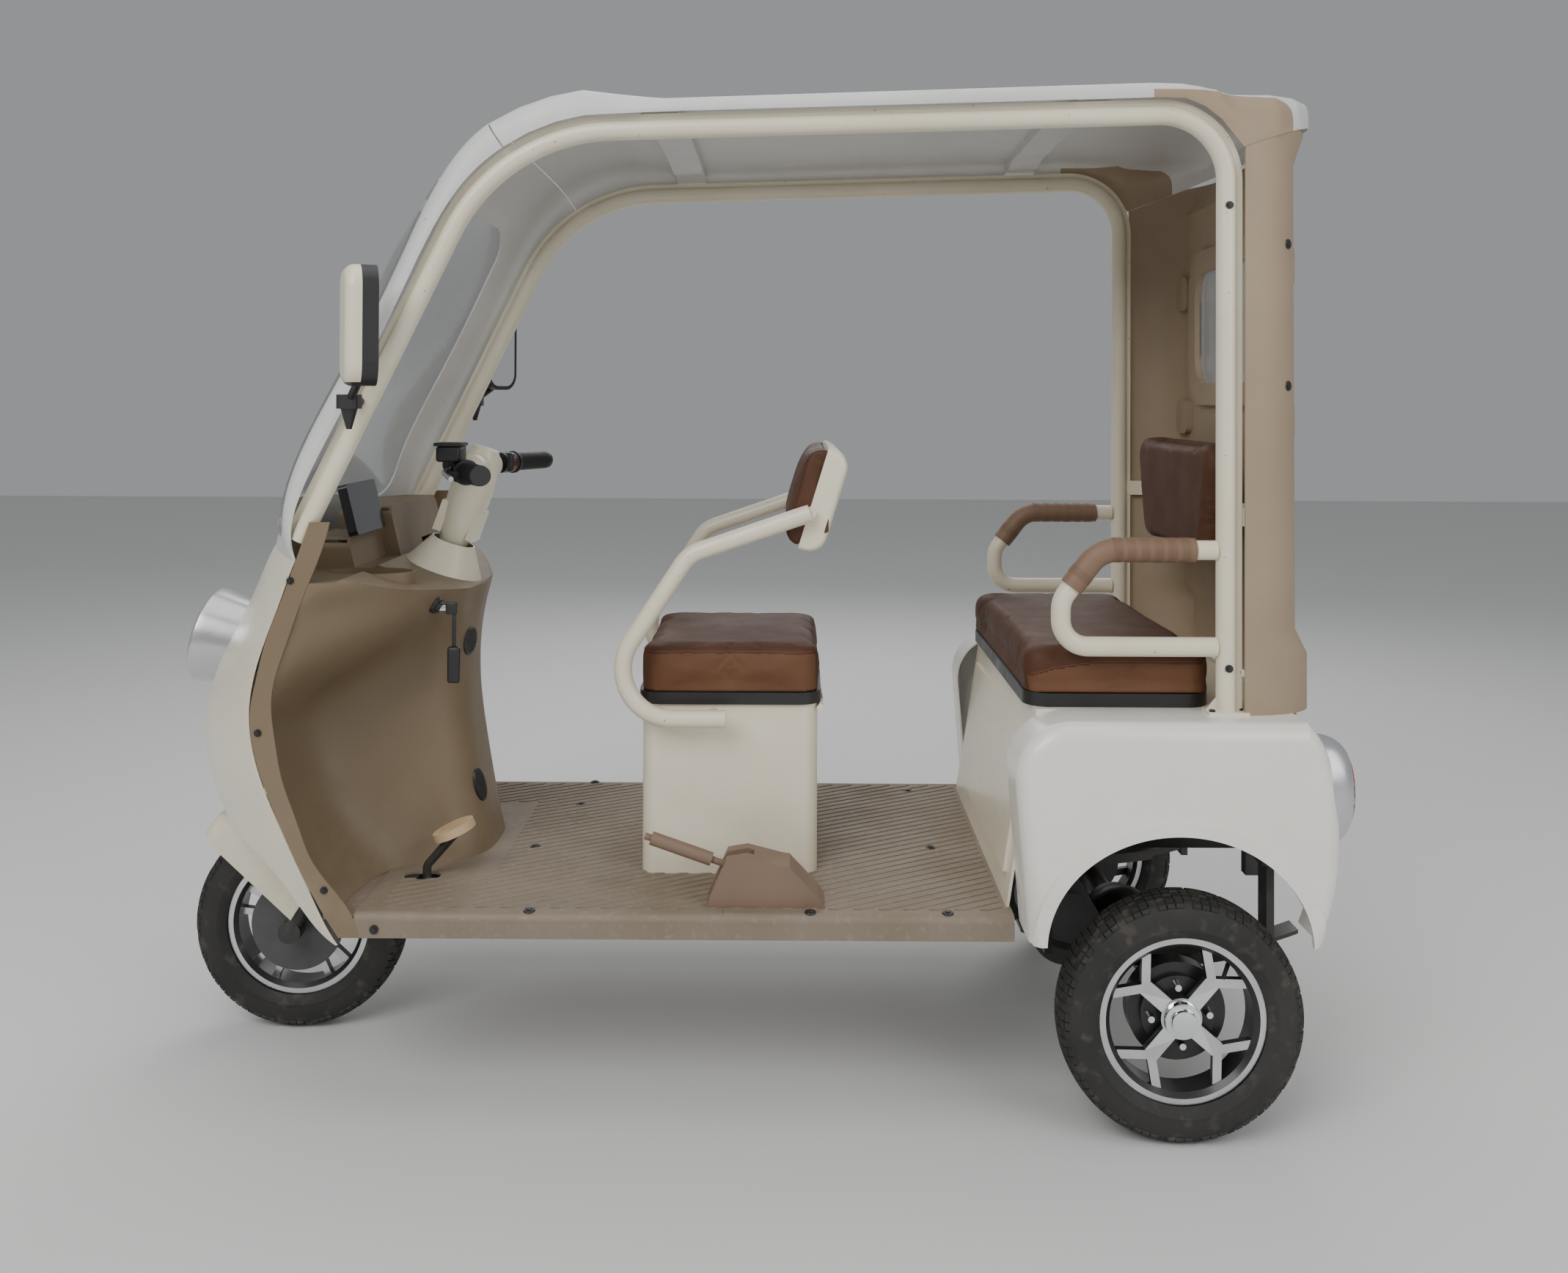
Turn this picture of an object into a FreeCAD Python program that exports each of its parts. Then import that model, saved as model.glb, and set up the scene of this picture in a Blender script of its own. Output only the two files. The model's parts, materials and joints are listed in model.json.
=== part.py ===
import FreeCAD, Part
import math
import os

vector = FreeCAD.Vector

# Driving sizes, in millimetres and degrees. X runs forward, Y to the left, Z up from the ground.
wheelbase = 1650.0
rear_overhang = 302.0
front_overhang = 219.0
rear_track = 800.0
cab_half_width = 400.0
hoop_half_spacing = 379.0
floor_top = 373.0
sill_bottom = 330.0
deck_top = 720.0

# General fits and skins
skin = 4.0
thin_skin = 3.0
fit_gap = 0.5
overrun = 20.0

# Tyres and rims, 3.00-10
tyre_radius = 210.0
tyre_half_width = 44.0
bead_radius = 128.0
flange_radius = 142.0
lip_inner_radius = 131.0
rim_half_width = 31.0
flange_thickness = 4.0
barrel_thickness = 5.0
tyre_bead_width_share = 0.57
tyre_radius_shares = (0.19, 0.30, 0.48, 0.75, 0.92, 0.985, 1.0)
tyre_width_shares = (0.59, 0.84, 1.0, 0.96, 0.77, 0.42, 0.0)

rear_hub_radius = 35.0
rear_hub_cap_radius = 21.0
rear_hub_cap_height = 9.0
rear_spoke_count = 4
rear_spoke_phase = 40.6
rear_spoke_spread = 21.0
rear_trunk_width = 27.0
rear_trunk_reach = 80.0
rear_arm_width = 15.0
rear_spoke_depth = 13.0
rear_spoke_offset = 9.0
lug_circle_radius = 50.0
lug_radius = 8.0
lug_height = 17.0
lug_tip_share = 0.7
lug_phase = 85.6
rear_flange_radius = 64.0
rear_flange_thickness = 9.0
drum_radius = 84.0
drum_depth = 34.0

front_hub_radius = 30.0
front_hub_half_width = 30.0
front_spoke_pairs = 5
front_blade_width = 13.0
front_blade_depth = 16.0
front_blade_gap_angle = 11.0
front_spoke_phase = 18.0
front_disc_radius = 92.0
front_disc_thickness = 4.0
front_disc_offset = 37.0
front_axle_radius = 8.0

# Steering line
rake_angle = 19.3
steering_offset = 30.0
fork_leg_spacing = 68.0
fork_leg_radius = 14.0
fork_lower_radius = 17.0
fork_lower_length = 120.0
fork_eye_radius = 22.0
fork_eye_half_width = 15.0
fork_crown_top = 478.0
fork_crown_width = 46.0
stem_radius = 14.0
head_tube_radius = 25.0
head_tube_bottom = 510.0
head_tube_drop = 18.0
stem_drop = 10.0

# Front mudguard
guard_half_width = 96.0
guard_crown_height = 437.0
guard_round = 34.0
guard_nose_ahead = 170.0
guard_nose_height = 404.0
guard_nose_round = 22.0
guard_rear_behind = 112.0
guard_skirt_height = 240.0
guard_skirt_behind = 8.0

# Handlebar
bar_radius = 11.0
bar_half_length = 318.0
bar_above_cone = 204.0
bar_sweep = 76.0
bar_bend_outer = 160.0
bar_bend_radius = 60.0
grip_radius = 18.5
grip_length = 118.0
grip_flange_radius = 24.0
grip_flange_thickness = 6.0
switch_radius = 22.0
switch_length = 42.0
reservoir_length = 46.0
reservoir_width = 34.0
reservoir_height = 40.0
lever_reach = 62.0
lever_knuckle_share = 0.6
lever_tip_share = 0.5
lever_thickness = 9.0
bulb_radius = 43.0
bulb_radius_shares = (0.62, 0.86, 0.96, 1.0, 0.94, 0.80, 0.62)
bulb_height_shares = (0.0, 0.16, 0.36, 0.55, 0.74, 0.90, 1.0)
bulb_drop = 154.0
bulb_rise = 38.0
shoulder_radius = 29.0
shoulder_half_length = 92.0
ear_width = 58.0
ear_depth = 17.0
ear_height = 62.0
ear_drop = 137.0
cone_below_shelf = 22.0
cone_base_radius = 78.0
cone_top_radius = 44.0
cone_height = 58.0
cone_wall = 3.0

# Chassis frame under the floor
rail_half_spacing = 170.0
rail_width = 30.0
rail_height = 40.0
rail_front_behind_axle = 260.0
rail_rear_behind_axle = 215.0
kick_up = 92.0
kick_start = 262.0
kick_end = 218.0
cross_member_stations = 4
down_tube_radius = 20.0
deck_post_size = 25.0

# Floor pans
floor_rear_end = 280.0
floor_split = 783.0
floor_front_end = 1419.0
floor_edge_round = 14.0
pedal_slot_rear = 1316.0
pedal_slot_front = 1384.0
pedal_slot_width = 38.0
pedal_side = 218.0

# Cabin hoops
hoop_radius = 17.0
hoop_setback = 88.0
hoop_rear_height = 1762.0
hoop_front_top_ahead = 1177.0
hoop_front_top_height = 1723.0
hoop_foot_ahead = 1524.0
hoop_foot_height = 1012.0
hoop_rear_bend = 113.0
hoop_front_bend = 320.0
gutter_depth = 10.0
gutter_thickness = 4.0
base_plate_length = 70.0
base_plate_width = 42.0
base_plate_thickness = 5.0
gusset_height = 42.0

# Front apron: plan sections by height, as shares of its height and of its nose and edge reach
apron_bottom = 290.0
apron_top = 980.0
apron_nose_reach = 1840.0
apron_edge_reach = 1606.0
apron_level_shares = (0.0, 0.16, 0.30, 0.48, 0.62, 0.78, 0.90, 1.0)
apron_nose_shares = (0.945, 0.969, 0.989, 1.0, 0.987, 0.957, 0.936, 0.918)
apron_edge_shares = (0.886, 0.931, 0.959, 0.991, 1.0, 0.986, 0.967, 0.951)
apron_plan_shares = (1.0, 0.88, 0.68, 0.42, 0.18, 0.0)
apron_plan_power = 1.55
apron_hem_reach_shares = (1.05, 0.98, 0.928, 0.886, 0.852, 0.826, 0.806, 0.76)
apron_hem_rise_shares = (0.225, 0.223, 0.218, 0.198, 0.158, 0.100, 0.058, 0.050)

# Leg shield: inner wall sections by height, and the edge strip between the wall and the apron
well_level_shares = (0.0, 0.18, 0.36, 0.56, 0.67, 0.77, 0.88, 1.0)
well_edge_shares = (0.893, 0.940, 0.966, 0.981, 0.977, 0.970, 0.953, 0.937)
well_column_shares = (0.782, 0.795, 0.806, 0.814, 0.813, 0.809, 0.800, 0.794)
well_depth_shares = (0.0, 0.03, 0.14, 0.42, 0.78, 1.0, 1.10, 1.12, 1.0)
well_pocket_shares = (0.0, 0.03, 0.06, 0.10, 0.14, 0.20, 0.31, 0.62, 1.0)
well_swell_shares = (0.0, 0.0, 0.0, 0.16, 0.5, 0.85, 1.0, 1.0)
well_width_shares = (0.0, 0.17, 0.27, 0.34, 0.41, 0.51, 0.68, 0.88, 1.0)
well_steps = 10
strip_bottom = 330.0
strip_top = 1046.0
strip_level_shares = (0.0, 0.055, 0.18, 0.28, 0.38, 0.475, 0.56, 0.605, 0.70, 0.81, 0.91, 1.0)
strip_inner_shares = (0.877, 0.886, 0.928, 0.946, 0.962, 0.970, 0.974, 0.972, 0.959, 0.942, 0.924, 0.912)
strip_outer_shares = (0.903, 0.919, 0.949, 0.969, 0.987, 0.998, 0.999, 0.995, 0.985, 0.967, 0.951, 0.937)
strip_thickness = 3.5
strip_setback = 5.0
strip_lap = 1.0

# Dash above the leg shield
dash_shelf = 940.0
dash_rise = 100.0
well_rise = 20.0
dash_rear_face = 1462.0
dash_low_face = 1492.0
dash_face_lean = 24.0
dash_front_gap = 16.0
dash_round = 22.0
dash_split_side = 14.0
dash_low_side = 182.0
bin_centre_side = 226.0
bin_length = 160.0
bin_width = 92.0
bin_depth = 80.0
bin_ahead = 1450.0
bin_rim = 5.0
display_side = 88.0
display_ahead = 1506.0
display_rise = 56.0
display_width = 172.0
display_height = 100.0
display_depth = 18.0
display_lean_angle = 14.0

# Windscreen surround and windscreen
surround_side_shares = (1.0, 1.0, 0.985, 0.935, 0.80, 0.55, 0.28, 0.0)
surround_foot_shares = (1.0, 0.96, 0.90, 0.80, 0.66, 0.46, 0.23, 0.0)
surround_rise_shares = (0.0, 0.09, 0.18, 0.28, 0.44, 0.71, 0.92, 1.0)
surround_corner_blend = 0.4
surround_low_ahead = 1524.5
surround_low_height = 1068.0
surround_rise_bottom = 112.0
surround_rise_middle = 126.0
surround_rise_corner = 98.0
seam_angle = 55.7
corner_angle = 41.0
screen_half_width = 346.0
screen_low = 84.0
screen_high = 628.0
screen_corner = 72.0
screen_border = 26.0
screen_thickness = 4.0

# Roof
roof_thickness = 5.0
roof_seam_gap_angle = 0.4
roof_side_shares = (1.0, 1.0, 0.985, 0.93, 0.78, 0.52, 0.26, 0.0)
roof_rise_shares = (0.0, 0.24, 0.52, 0.73, 0.87, 0.95, 0.99, 1.0)
roof_seam_rise = 75.0
roof_front_rise = 68.0
roof_front_angle = 81.0
roof_front_steps = 3
roof_straight_steps = 4
roof_rear_steps = 3
roof_dip_ahead = 889.0
roof_dip_rise = 39.0
roof_rear_ahead = 42.0
roof_rear_rise = 43.0
roof_turn_angle = 135.0
roof_drop_behind = 112.0
roof_drop_height = 1700.0
roof_tip_height = 1768.0
roof_tip_rise = 50.0
roof_tail_shares = (0.0, 0.35, 0.6, 0.8, 0.92, 1.0)
roof_tail_width_shares = (1.0, 0.962, 0.87, 0.731, 0.585, 0.38)
bow_width = 66.0
bow_depth = 20.0
bow_front_ahead = 900.0
bow_rear_ahead = 141.0

# Rear wall and window
wall_rear_behind = 228.0
wall_flare = 22.0
wall_flare_top = 838.0
wall_top = 1742.0
wall_round = 86.0
wall_neck_round = 100.0
wall_top_round = 196.0
wall_corner_steps = 6
wall_thickness = 5.0
window_half_width = 210.0
window_bottom = 1298.0
window_top = 1538.0
window_corner = 60.0
window_frame_width = 46.0
window_frame_depth = 11.0
window_gasket = 12.0
window_pane = 4.0
wall_boss_side = 300.0
wall_boss_size = 74.0
wall_boss_depth = 14.0
wall_boss_round_share = 0.25
window_frame_round_share = 0.5
wall_boss_low = 1225.0
wall_boss_high = 1500.0

# Rear bench
bench_front_top = 236.0
bench_front_foot = 288.0
bench_rear_behind = 206.0
bench_skin = 5.0
bench_round = 34.0
bench_panel_inset = 46.0
bench_panel_raise = 6.0
bench_cushion_front = 262.0
bench_cushion_rear_behind = 88.0
bench_cushion_half_width = 352.0
bench_pan_top = 744.0
bench_cushion_top = 826.0
bench_cushion_round = 30.0
bench_pan_inset = 10.0
backrest_half_width = 268.0
backrest_low_half_width = 205.0
backrest_bottom = 963.0
backrest_top = 1186.0
backrest_front_behind = 96.0
backrest_depth = 52.0
backrest_round = 22.0
backrest_bar_height = 32.0
backrest_bar_thickness = 5.0
backrest_bar_level = 1060.0

# Armrests
arm_radius = 17.0
arm_top = 1002.0
arm_low = 834.0
arm_bend_ahead = 130.0
arm_nose_ahead = 198.0
arm_nose_drop = 88.0
arm_bend = 60.0
arm_nose_bend = 48.0
arm_return_bend = 46.5
arm_grip_radius = 21.0
arm_grip_rear_behind = 34.0
arm_grip_end_share = 0.6

# Fenders
fender_outer_side = 470.0
fender_inner_side = 356.0
fender_skin = 4.0
fender_front_foot = 265.0
fender_front_top = 296.0
fender_foot_height = 350.0
fender_corner = 96.0
fender_top_round = 30.0
fender_tail_reach = 256.0
arch_half_length = 222.0
arch_centre_ahead = 16.0
arch_spring_height = 345.0
arch_rise = 190.0
arch_lip_width = 24.0
arch_lip_depth = 7.0
fender_tail_height_shares = (1.0, 0.90, 0.66, 0.36, 0.20, 0.0)
fender_tail_reach_shares = (0.80, 0.905, 0.99, 1.0, 0.965, 0.875)

# Tail
tail_panel_bottom = 452.0
tail_panel_behind = 222.0
tail_panel_round = 26.0
tail_recess_half_width = 210.0
tail_recess_height = 120.0
tail_recess_depth = 6.0
lamp_height = 597.0
lamp_half_height = 97.0
lamp_half_width = 50.0
lamp_side = 414.0
lamp_base_behind = 228.0
lamp_depth = 54.0
lamp_level_shares = (0.0, 0.45, 0.85, 1.0)
lamp_width_shares = (1.0, 0.95, 0.80, 0.66)
lens_share = 0.62
lens_depth = 5.0
lens_level_shares = (0.0, 0.7, 1.0)
lens_width_shares = (1.0, 0.93, 0.80)

# Driver's seat box, cushion and backrest
box_front = 946.0
box_length = 330.0
box_half_width = 200.0
box_top = 690.0
box_corner = 30.0
box_wall = 3.0
latch_width = 40.0
latch_height = 26.0
latch_depth = 10.0
pan_overhang = 7.0
pan_thickness = 22.0
seat_half_width = 210.0
seat_top = 802.0
seat_corner = 44.0
seat_round = 20.0
lid_gap = 0.5
hinge_radius = 5.0
hinge_gap = 1.0
hinge_knuckle = 50.0
hinge_side = 120.0
hinge_leaf = 3.0
seat_tube_radius = 16.5
seat_tube_side = 248.0
seat_tube_low = 673.0
seat_tube_tail_behind = 160.0
seat_tube_turn_ahead = 108.0
seat_tube_turn_bend = 92.0
seat_tube_knee_behind = 91.0
seat_tube_knee_height = 975.0
seat_tube_knee_bend = 62.0
seat_tube_end_behind = 314.0
seat_tube_end_height = 1052.0
seat_boss_radius = 11.0
seat_boss_from_end = 24.75
driver_back_height = 1076.0
driver_back_behind = 326.0
driver_back_half_width = 230.0
driver_back_tall = 198.0
driver_back_thick = 80.0
driver_back_lean_angle = 17.0
driver_pad_share = 0.42
driver_back_round = 36.0

# Controls
pedal_pad_radius = 39.0
pedal_pad_thickness = 15.0
pedal_pad_height = 452.0
pedal_pad_ahead = 1289.0
pedal_pad_tilt_angle = 22.0
pedal_arm_radius = 8.0
pedal_arm_bend = 16.0
pedal_pivot_radius = 11.2
pedal_foot_ahead = 1342.0
pedal_elbow_height = 392.0
pedal_pivot_drop = 40.0
brake_side = 330.0
brake_cover_rear = 605.0
brake_cover_length = 209.0
brake_cover_half_width = 38.0
brake_cover_height = 88.0
brake_profile_length_shares = (0.0, 1.0, 0.96, 0.83, 0.66, 0.36, 0.30, 0.06)
brake_profile_height_shares = (0.0, 0.0, 0.24, 0.93, 1.0, 0.82, 0.80, 0.20)
brake_lever_radius = 12.0
brake_slot_share = 0.6
brake_root_length_share = 0.72
brake_root_height_share = 0.62
brake_grip_share = 0.32
brake_lever_reach = 158.0
brake_lever_height = 470.0
brake_button_radius = 6.0
brake_button_length = 12.0

# Mirrors
mirror_side = 500.0
mirror_height = 1381.0
mirror_tall = 200.0
mirror_wide = 112.0
mirror_depth = 52.0
mirror_ahead = 1384.0
mirror_yaw_angle = 24.0
mirror_corner = 40.0
mirror_glass_margin = 9.0
mirror_glass_thickness = 3.0
mirror_stalk_radius = 7.0
mirror_block = 36.0
mirror_block_height = 1255.0
mirror_block_side = 448.0
mirror_block_ahead = 1416.0
mirror_arm_radius = 9.0
mirror_cone_tip = 4.5
mirror_cone_root = 14.4

# Headlamp
headlamp_radius = 97.0
headlamp_height = 782.0
headlamp_face_ahead = 1848.0
headlamp_depth = 96.0
headlamp_tilt_angle = 12.0
headlamp_back_share = 0.82
headlamp_lens_radius = 86.0
headlamp_lens_bulge = 17.0

# Driveline
axle_radius = 24.0
differential_radius = 72.0
differential_side_radius = 57.6
differential_half_length = 62.0
hub_radius = 46.0
motor_radius = 70.0
motor_length = 190.0
motor_ahead = 128.0
motor_height = 232.0
spring_side = 262.0
spring_width = 44.0
spring_thickness = 7.0
spring_leaf_count = 3
spring_leaf_step_share = 0.24
spring_half_length = 250.0
spring_camber = 46.0
spring_seat_share = 0.8
battery_length = 190.0
battery_half_width = 174.0
battery_height = 170.0
battery_rear = -30.0

# Places worked out from the driving sizes
overall_length = rear_overhang + wheelbase + front_overhang
axle_half_length = rear_track / 2 - rear_flange_thickness - drum_depth - hub_radius / 4 - fit_gap
rear_axle_x = rear_overhang - overall_length / 2
front_axle_x = rear_axle_x + wheelbase
rake = math.radians(rake_angle)
steer_line = vector(-math.sin(rake), 0, math.cos(rake))
steer_cross = vector(math.cos(rake), 0, math.sin(rake))
steer_foot = vector(front_axle_x, 0, tyre_radius) - steer_cross * steering_offset
dash_top = dash_shelf + dash_rise
well_top = dash_shelf + well_rise
display_bottom = dash_shelf + display_rise
cone_height_on_axis = dash_shelf - cone_below_shelf
bar_height = cone_height_on_axis + bar_above_cone
stem_top = bar_height - stem_drop
head_tube_top = cone_height_on_axis - head_tube_drop
bulb_bottom = bar_height - bulb_drop
bulb_top = bar_height + bulb_rise
ear_bottom = bar_height - ear_drop
surround_setoff = hoop_radius + gutter_depth
wall_front_behind = hoop_setback + surround_setoff
surround_half_width = hoop_half_spacing + hoop_radius + skin
roof_half_width = hoop_half_spacing + hoop_radius + roof_thickness
dash_half_width = hoop_half_spacing - hoop_radius - skin


def ahead(distance):
    return rear_axle_x + distance


def steer_point(height):
    run = (height - steer_foot.z) / steer_line.z
    return steer_foot + steer_line * run


def box(low, high):
    size = high - low
    return Part.makeBox(size.x, size.y, size.z, low)


def rod(start, end, radius):
    axis = end - start
    return Part.makeCylinder(radius, axis.Length, start, axis)


def cross_rod(middle, radius, half_length):
    half = vector(0, half_length, 0)
    return rod(middle - half, middle + half, radius)


def polygon(points):
    return Part.makePolygon(points + [points[0]])


def side_plate(outline, right, left):
    points = [vector(x, right, z) for x, z in outline]
    return Part.Face(polygon(points)).extrude(vector(0, left - right, 0))


def spline(points):
    curve = Part.BSplineCurve()
    curve.interpolate(points)
    return curve.toShape()


def bent_path(points, bends):
    edges = []
    start = points[0]
    for corner, after, bend in zip(points[1:-1], points[2:], bends):
        before = (corner - start).normalize()
        onward = (after - corner).normalize()
        turn = before.getAngle(onward)
        reach = bend * math.tan(turn / 2)
        first = corner - before * reach
        last = corner + onward * reach
        inward = (onward - before).normalize()
        middle = corner + inward * (bend / math.cos(turn / 2) - bend)
        edges.append(Part.LineSegment(start, first).toShape())
        edges.append(Part.Arc(first, middle, last).toShape())
        start = last
    edges.append(Part.LineSegment(start, points[-1]).toShape())
    return Part.Wire(edges)


def sweep(path, profile):
    shape = path.makePipeShell([profile], True, False)
    return Part.Solid(shape) if shape.ShapeType == "Shell" else shape


def tube(points, bends, radius, wall=None):
    path = bent_path(points, bends)
    direction = points[1] - points[0]
    solid = sweep(path, Part.Wire(Part.makeCircle(radius, points[0], direction)))
    if wall is None:
        return solid
    bore = sweep(path, Part.Wire(Part.makeCircle(radius - wall, points[0], direction)))
    return solid.cut(bore)


def fused(shapes):
    whole = shapes[0].fuse(shapes[1:])
    merged = whole.removeSplitter()
    return merged if merged.isValid() else whole


def trimmed(shape, others):
    """The largest solid that is left of a shape outside the others."""
    for other in others:
        shape = shape.cut(other)
    return max(shape.Solids, key=lambda solid: solid.Volume)


def mirrored(shape):
    return shape.mirror(vector(0, 0, 0), vector(0, 1, 0))


def mirrored_point(point):
    return vector(point.x, -point.y, point.z)


def pair(shape):
    return Part.makeCompound([shape, mirrored(shape)])


def about_y(shape, centre, angle):
    shape = shape.copy()
    shape.rotate(centre, vector(0, 1, 0), angle)
    return shape


def rounded(shape, radius, choose):
    edges = [edge for edge in shape.Edges if choose(edge)]
    return shape.makeFillet(radius, edges)


def runs_along(edge, axis):
    return abs(abs(edge.tangentAt(edge.FirstParameter).dot(axis)) - 1) < 1e-3 and len(edge.Vertexes) == 2


def rounded_block(low, high, radius, axis, edge_radius=None):
    block = rounded(box(low, high), radius, lambda edge: runs_along(edge, axis))
    if edge_radius is None:
        return block
    return rounded(block, edge_radius, lambda edge: not runs_along(edge, axis))


def share_of(shares, size):
    return [share * size for share in shares]


def offset_points(points, plane, distance):
    curve = Part.BSplineCurve()
    curve.interpolate(points)
    moved = []
    for point in points:
        tangent = curve.tangent(curve.parameter(point))[0]
        moved.append(point + tangent.cross(plane).normalize() * distance)
    return moved


def band(points, plane, thickness):
    """Closed outline of a thin wall whose outer line runs through the points."""
    inner = offset_points(points, plane, thickness)
    ends = [Part.LineSegment(points[-1], inner[-1]).toShape(), Part.LineSegment(inner[0], points[0]).toShape()]
    return Part.Wire([spline(points), ends[0], spline(inner[::-1]), ends[1]])


def symmetric(half):
    """Points from the left edge to the middle, repeated to the right edge."""
    other = [mirrored_point(point) for point in half[:-1]]
    return half + other[::-1]


def tyre():
    depth = tyre_radius - bead_radius
    radii = [bead_radius + share * depth for share in tyre_radius_shares]
    widths = share_of(tyre_width_shares, tyre_half_width)
    half = [vector(radius, width, 0) for radius, width in zip(radii, widths)]
    crown = half + [vector(point.x, -point.y, 0) for point in half[:-1]][::-1]
    bead = tyre_half_width * tyre_bead_width_share
    low = vector(bead_radius, -bead, 0)
    high = vector(bead_radius, bead, 0)
    lines = [(crown[-1], low), (low, high), (high, crown[0])]
    edges = [spline(crown)] + [Part.LineSegment(first, last).toShape() for first, last in lines]
    return Part.Face(Part.Wire(edges)).revolve(vector(0, 0, 0), vector(0, 1, 0), 360)


def rim_barrel():
    inner = bead_radius - barrel_thickness
    well = rim_half_width - flange_thickness
    half = [(flange_radius, rim_half_width), (flange_radius, well), (bead_radius, well - fit_gap)]
    mirror_half = [(radius, -side) for radius, side in half][::-1]
    far = [(lip_inner_radius, -rim_half_width), (inner, -well + flange_thickness)]
    near = [(inner, well - flange_thickness), (lip_inner_radius, rim_half_width)]
    points = [vector(radius, side, 0) for radius, side in half + mirror_half + far + near]
    return Part.Face(polygon(points)).revolve(vector(0, 0, 0), vector(0, 1, 0), 360)


def wheel_bar(start, end, width, low, high):
    """A flat bar in the plane of the wheel between two points given as (x, z)."""
    first = vector(start[0], low, start[1])
    last = vector(end[0], low, end[1])
    across = (last - first).cross(vector(0, 1, 0)).normalize() * (width / 2)
    corners = [first - across, first + across, last + across, last - across]
    return Part.Face(polygon(corners)).extrude(vector(0, high - low, 0))


def polar(radius, angle):
    return radius * math.cos(math.radians(angle)), radius * math.sin(math.radians(angle))


def wheel_disc(radius, low, high):
    return rod(vector(0, low, 0), vector(0, high, 0), radius)


def rear_rim():
    face = rear_spoke_offset + rear_spoke_depth
    reach = bead_radius - barrel_thickness / 2
    parts = [rim_barrel(), wheel_disc(rear_hub_radius, 0, face)]
    parts.append(wheel_disc(rear_flange_radius, -rear_flange_thickness, 0))
    parts.append(wheel_disc(drum_radius, -rear_flange_thickness - drum_depth, -rear_flange_thickness))
    parts.append(Part.makeCone(rear_hub_cap_radius + flange_thickness, rear_hub_cap_radius,
                               rear_hub_cap_height, vector(0, face, 0), vector(0, 1, 0)))
    for index in range(rear_spoke_count):
        angle = rear_spoke_phase + index * 360 / rear_spoke_count
        crotch = polar(rear_trunk_reach, angle)
        parts.append(wheel_bar((0, 0), crotch, rear_trunk_width, rear_spoke_offset, face))
        for spread in (-rear_spoke_spread, rear_spoke_spread):
            tip = polar(reach, angle + spread)
            parts.append(wheel_bar(crotch, tip, rear_arm_width, rear_spoke_offset, face))
        lug = polar(lug_circle_radius, lug_phase + index * 360 / rear_spoke_count)
        parts.append(Part.makeCone(lug_radius, lug_radius * lug_tip_share, lug_height,
                                   vector(lug[0], 0, lug[1]), vector(0, 1, 0)))
    return fused(parts)


def front_rim():
    face = front_blade_depth / 2
    reach = bead_radius - barrel_thickness / 2
    parts = [rim_barrel(), wheel_disc(front_hub_radius, -front_hub_half_width, front_hub_half_width)]
    parts.append(wheel_disc(front_disc_radius, front_disc_offset - front_disc_thickness, front_disc_offset))
    parts.append(wheel_disc(front_hub_radius, front_hub_half_width, front_disc_offset))
    for index in range(front_spoke_pairs):
        angle = front_spoke_phase + index * 360 / front_spoke_pairs
        for spread in (-front_blade_gap_angle, front_blade_gap_angle):
            parts.append(wheel_bar((0, 0), polar(reach, angle + spread), front_blade_width, -face, face))
    bore = wheel_disc(front_axle_radius + fit_gap, -front_disc_radius, front_disc_radius)
    return fused(parts).cut(bore)


def placed(shape, x, y, z):
    shape = shape.copy()
    shape.translate(vector(x, y, z))
    return shape


def steer_rod(low, high, radius):
    return rod(steer_point(low), steer_point(high), radius)


def fork_leg_point(height, side):
    run = (height - tyre_radius) / steer_line.z
    return vector(front_axle_x, side, tyre_radius) + steer_line * run


def front_fork():
    crown_front = fork_leg_point(guard_crown_height, 0).x + fork_crown_width / 2
    crown_rear = steer_point(guard_crown_height).x - fork_crown_width / 2
    low = vector(crown_rear, -fork_leg_spacing, guard_crown_height)
    high = vector(crown_front, fork_leg_spacing, fork_crown_top)
    crown = rounded_block(low, high, stem_radius, vector(0, 0, 1))
    fork = crown.fuse(steer_rod(guard_crown_height, stem_top, stem_radius))
    lower_end = tyre_radius + fork_lower_length
    slider_top = fork_crown_top - fit_gap
    for side in (-fork_leg_spacing, fork_leg_spacing):
        leg = rod(fork_leg_point(tyre_radius, side), fork_leg_point(lower_end, side), fork_lower_radius)
        eye = vector(front_axle_x, side, tyre_radius)
        leg = leg.fuse(cross_rod(eye, fork_eye_radius, fork_eye_half_width))
        inside = lower_end - fork_lower_radius
        leg = leg.fuse(rod(fork_leg_point(inside, side), fork_leg_point(slider_top, side), fork_leg_radius))
        fork = fork.fuse(leg)
    return fused([fork, cross_rod(vector(front_axle_x, 0, tyre_radius), front_axle_radius, fork_leg_spacing)])


def guard_block(inset):
    top = guard_crown_height - inset
    nose_x = front_axle_x + guard_nose_ahead - inset
    rear_x = front_axle_x - guard_rear_behind
    skirt_x = front_axle_x - guard_skirt_behind
    shoulder_x = nose_x - guard_nose_round
    outline = [(nose_x, guard_nose_height), (shoulder_x, top), (rear_x, top),
               (rear_x, guard_nose_height), (skirt_x, guard_skirt_height)]
    block = side_plate(outline, -guard_half_width + inset, guard_half_width - inset)
    along_top = [edge for edge in block.Edges
                 if abs(edge.CenterOfMass.y) > guard_half_width - inset - fit_gap
                 and edge.CenterOfMass.z > guard_nose_height + fit_gap
                 and edge.CenterOfMass.x > rear_x + fit_gap]
    return block.makeFillet(guard_round - inset, along_top)


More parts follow.
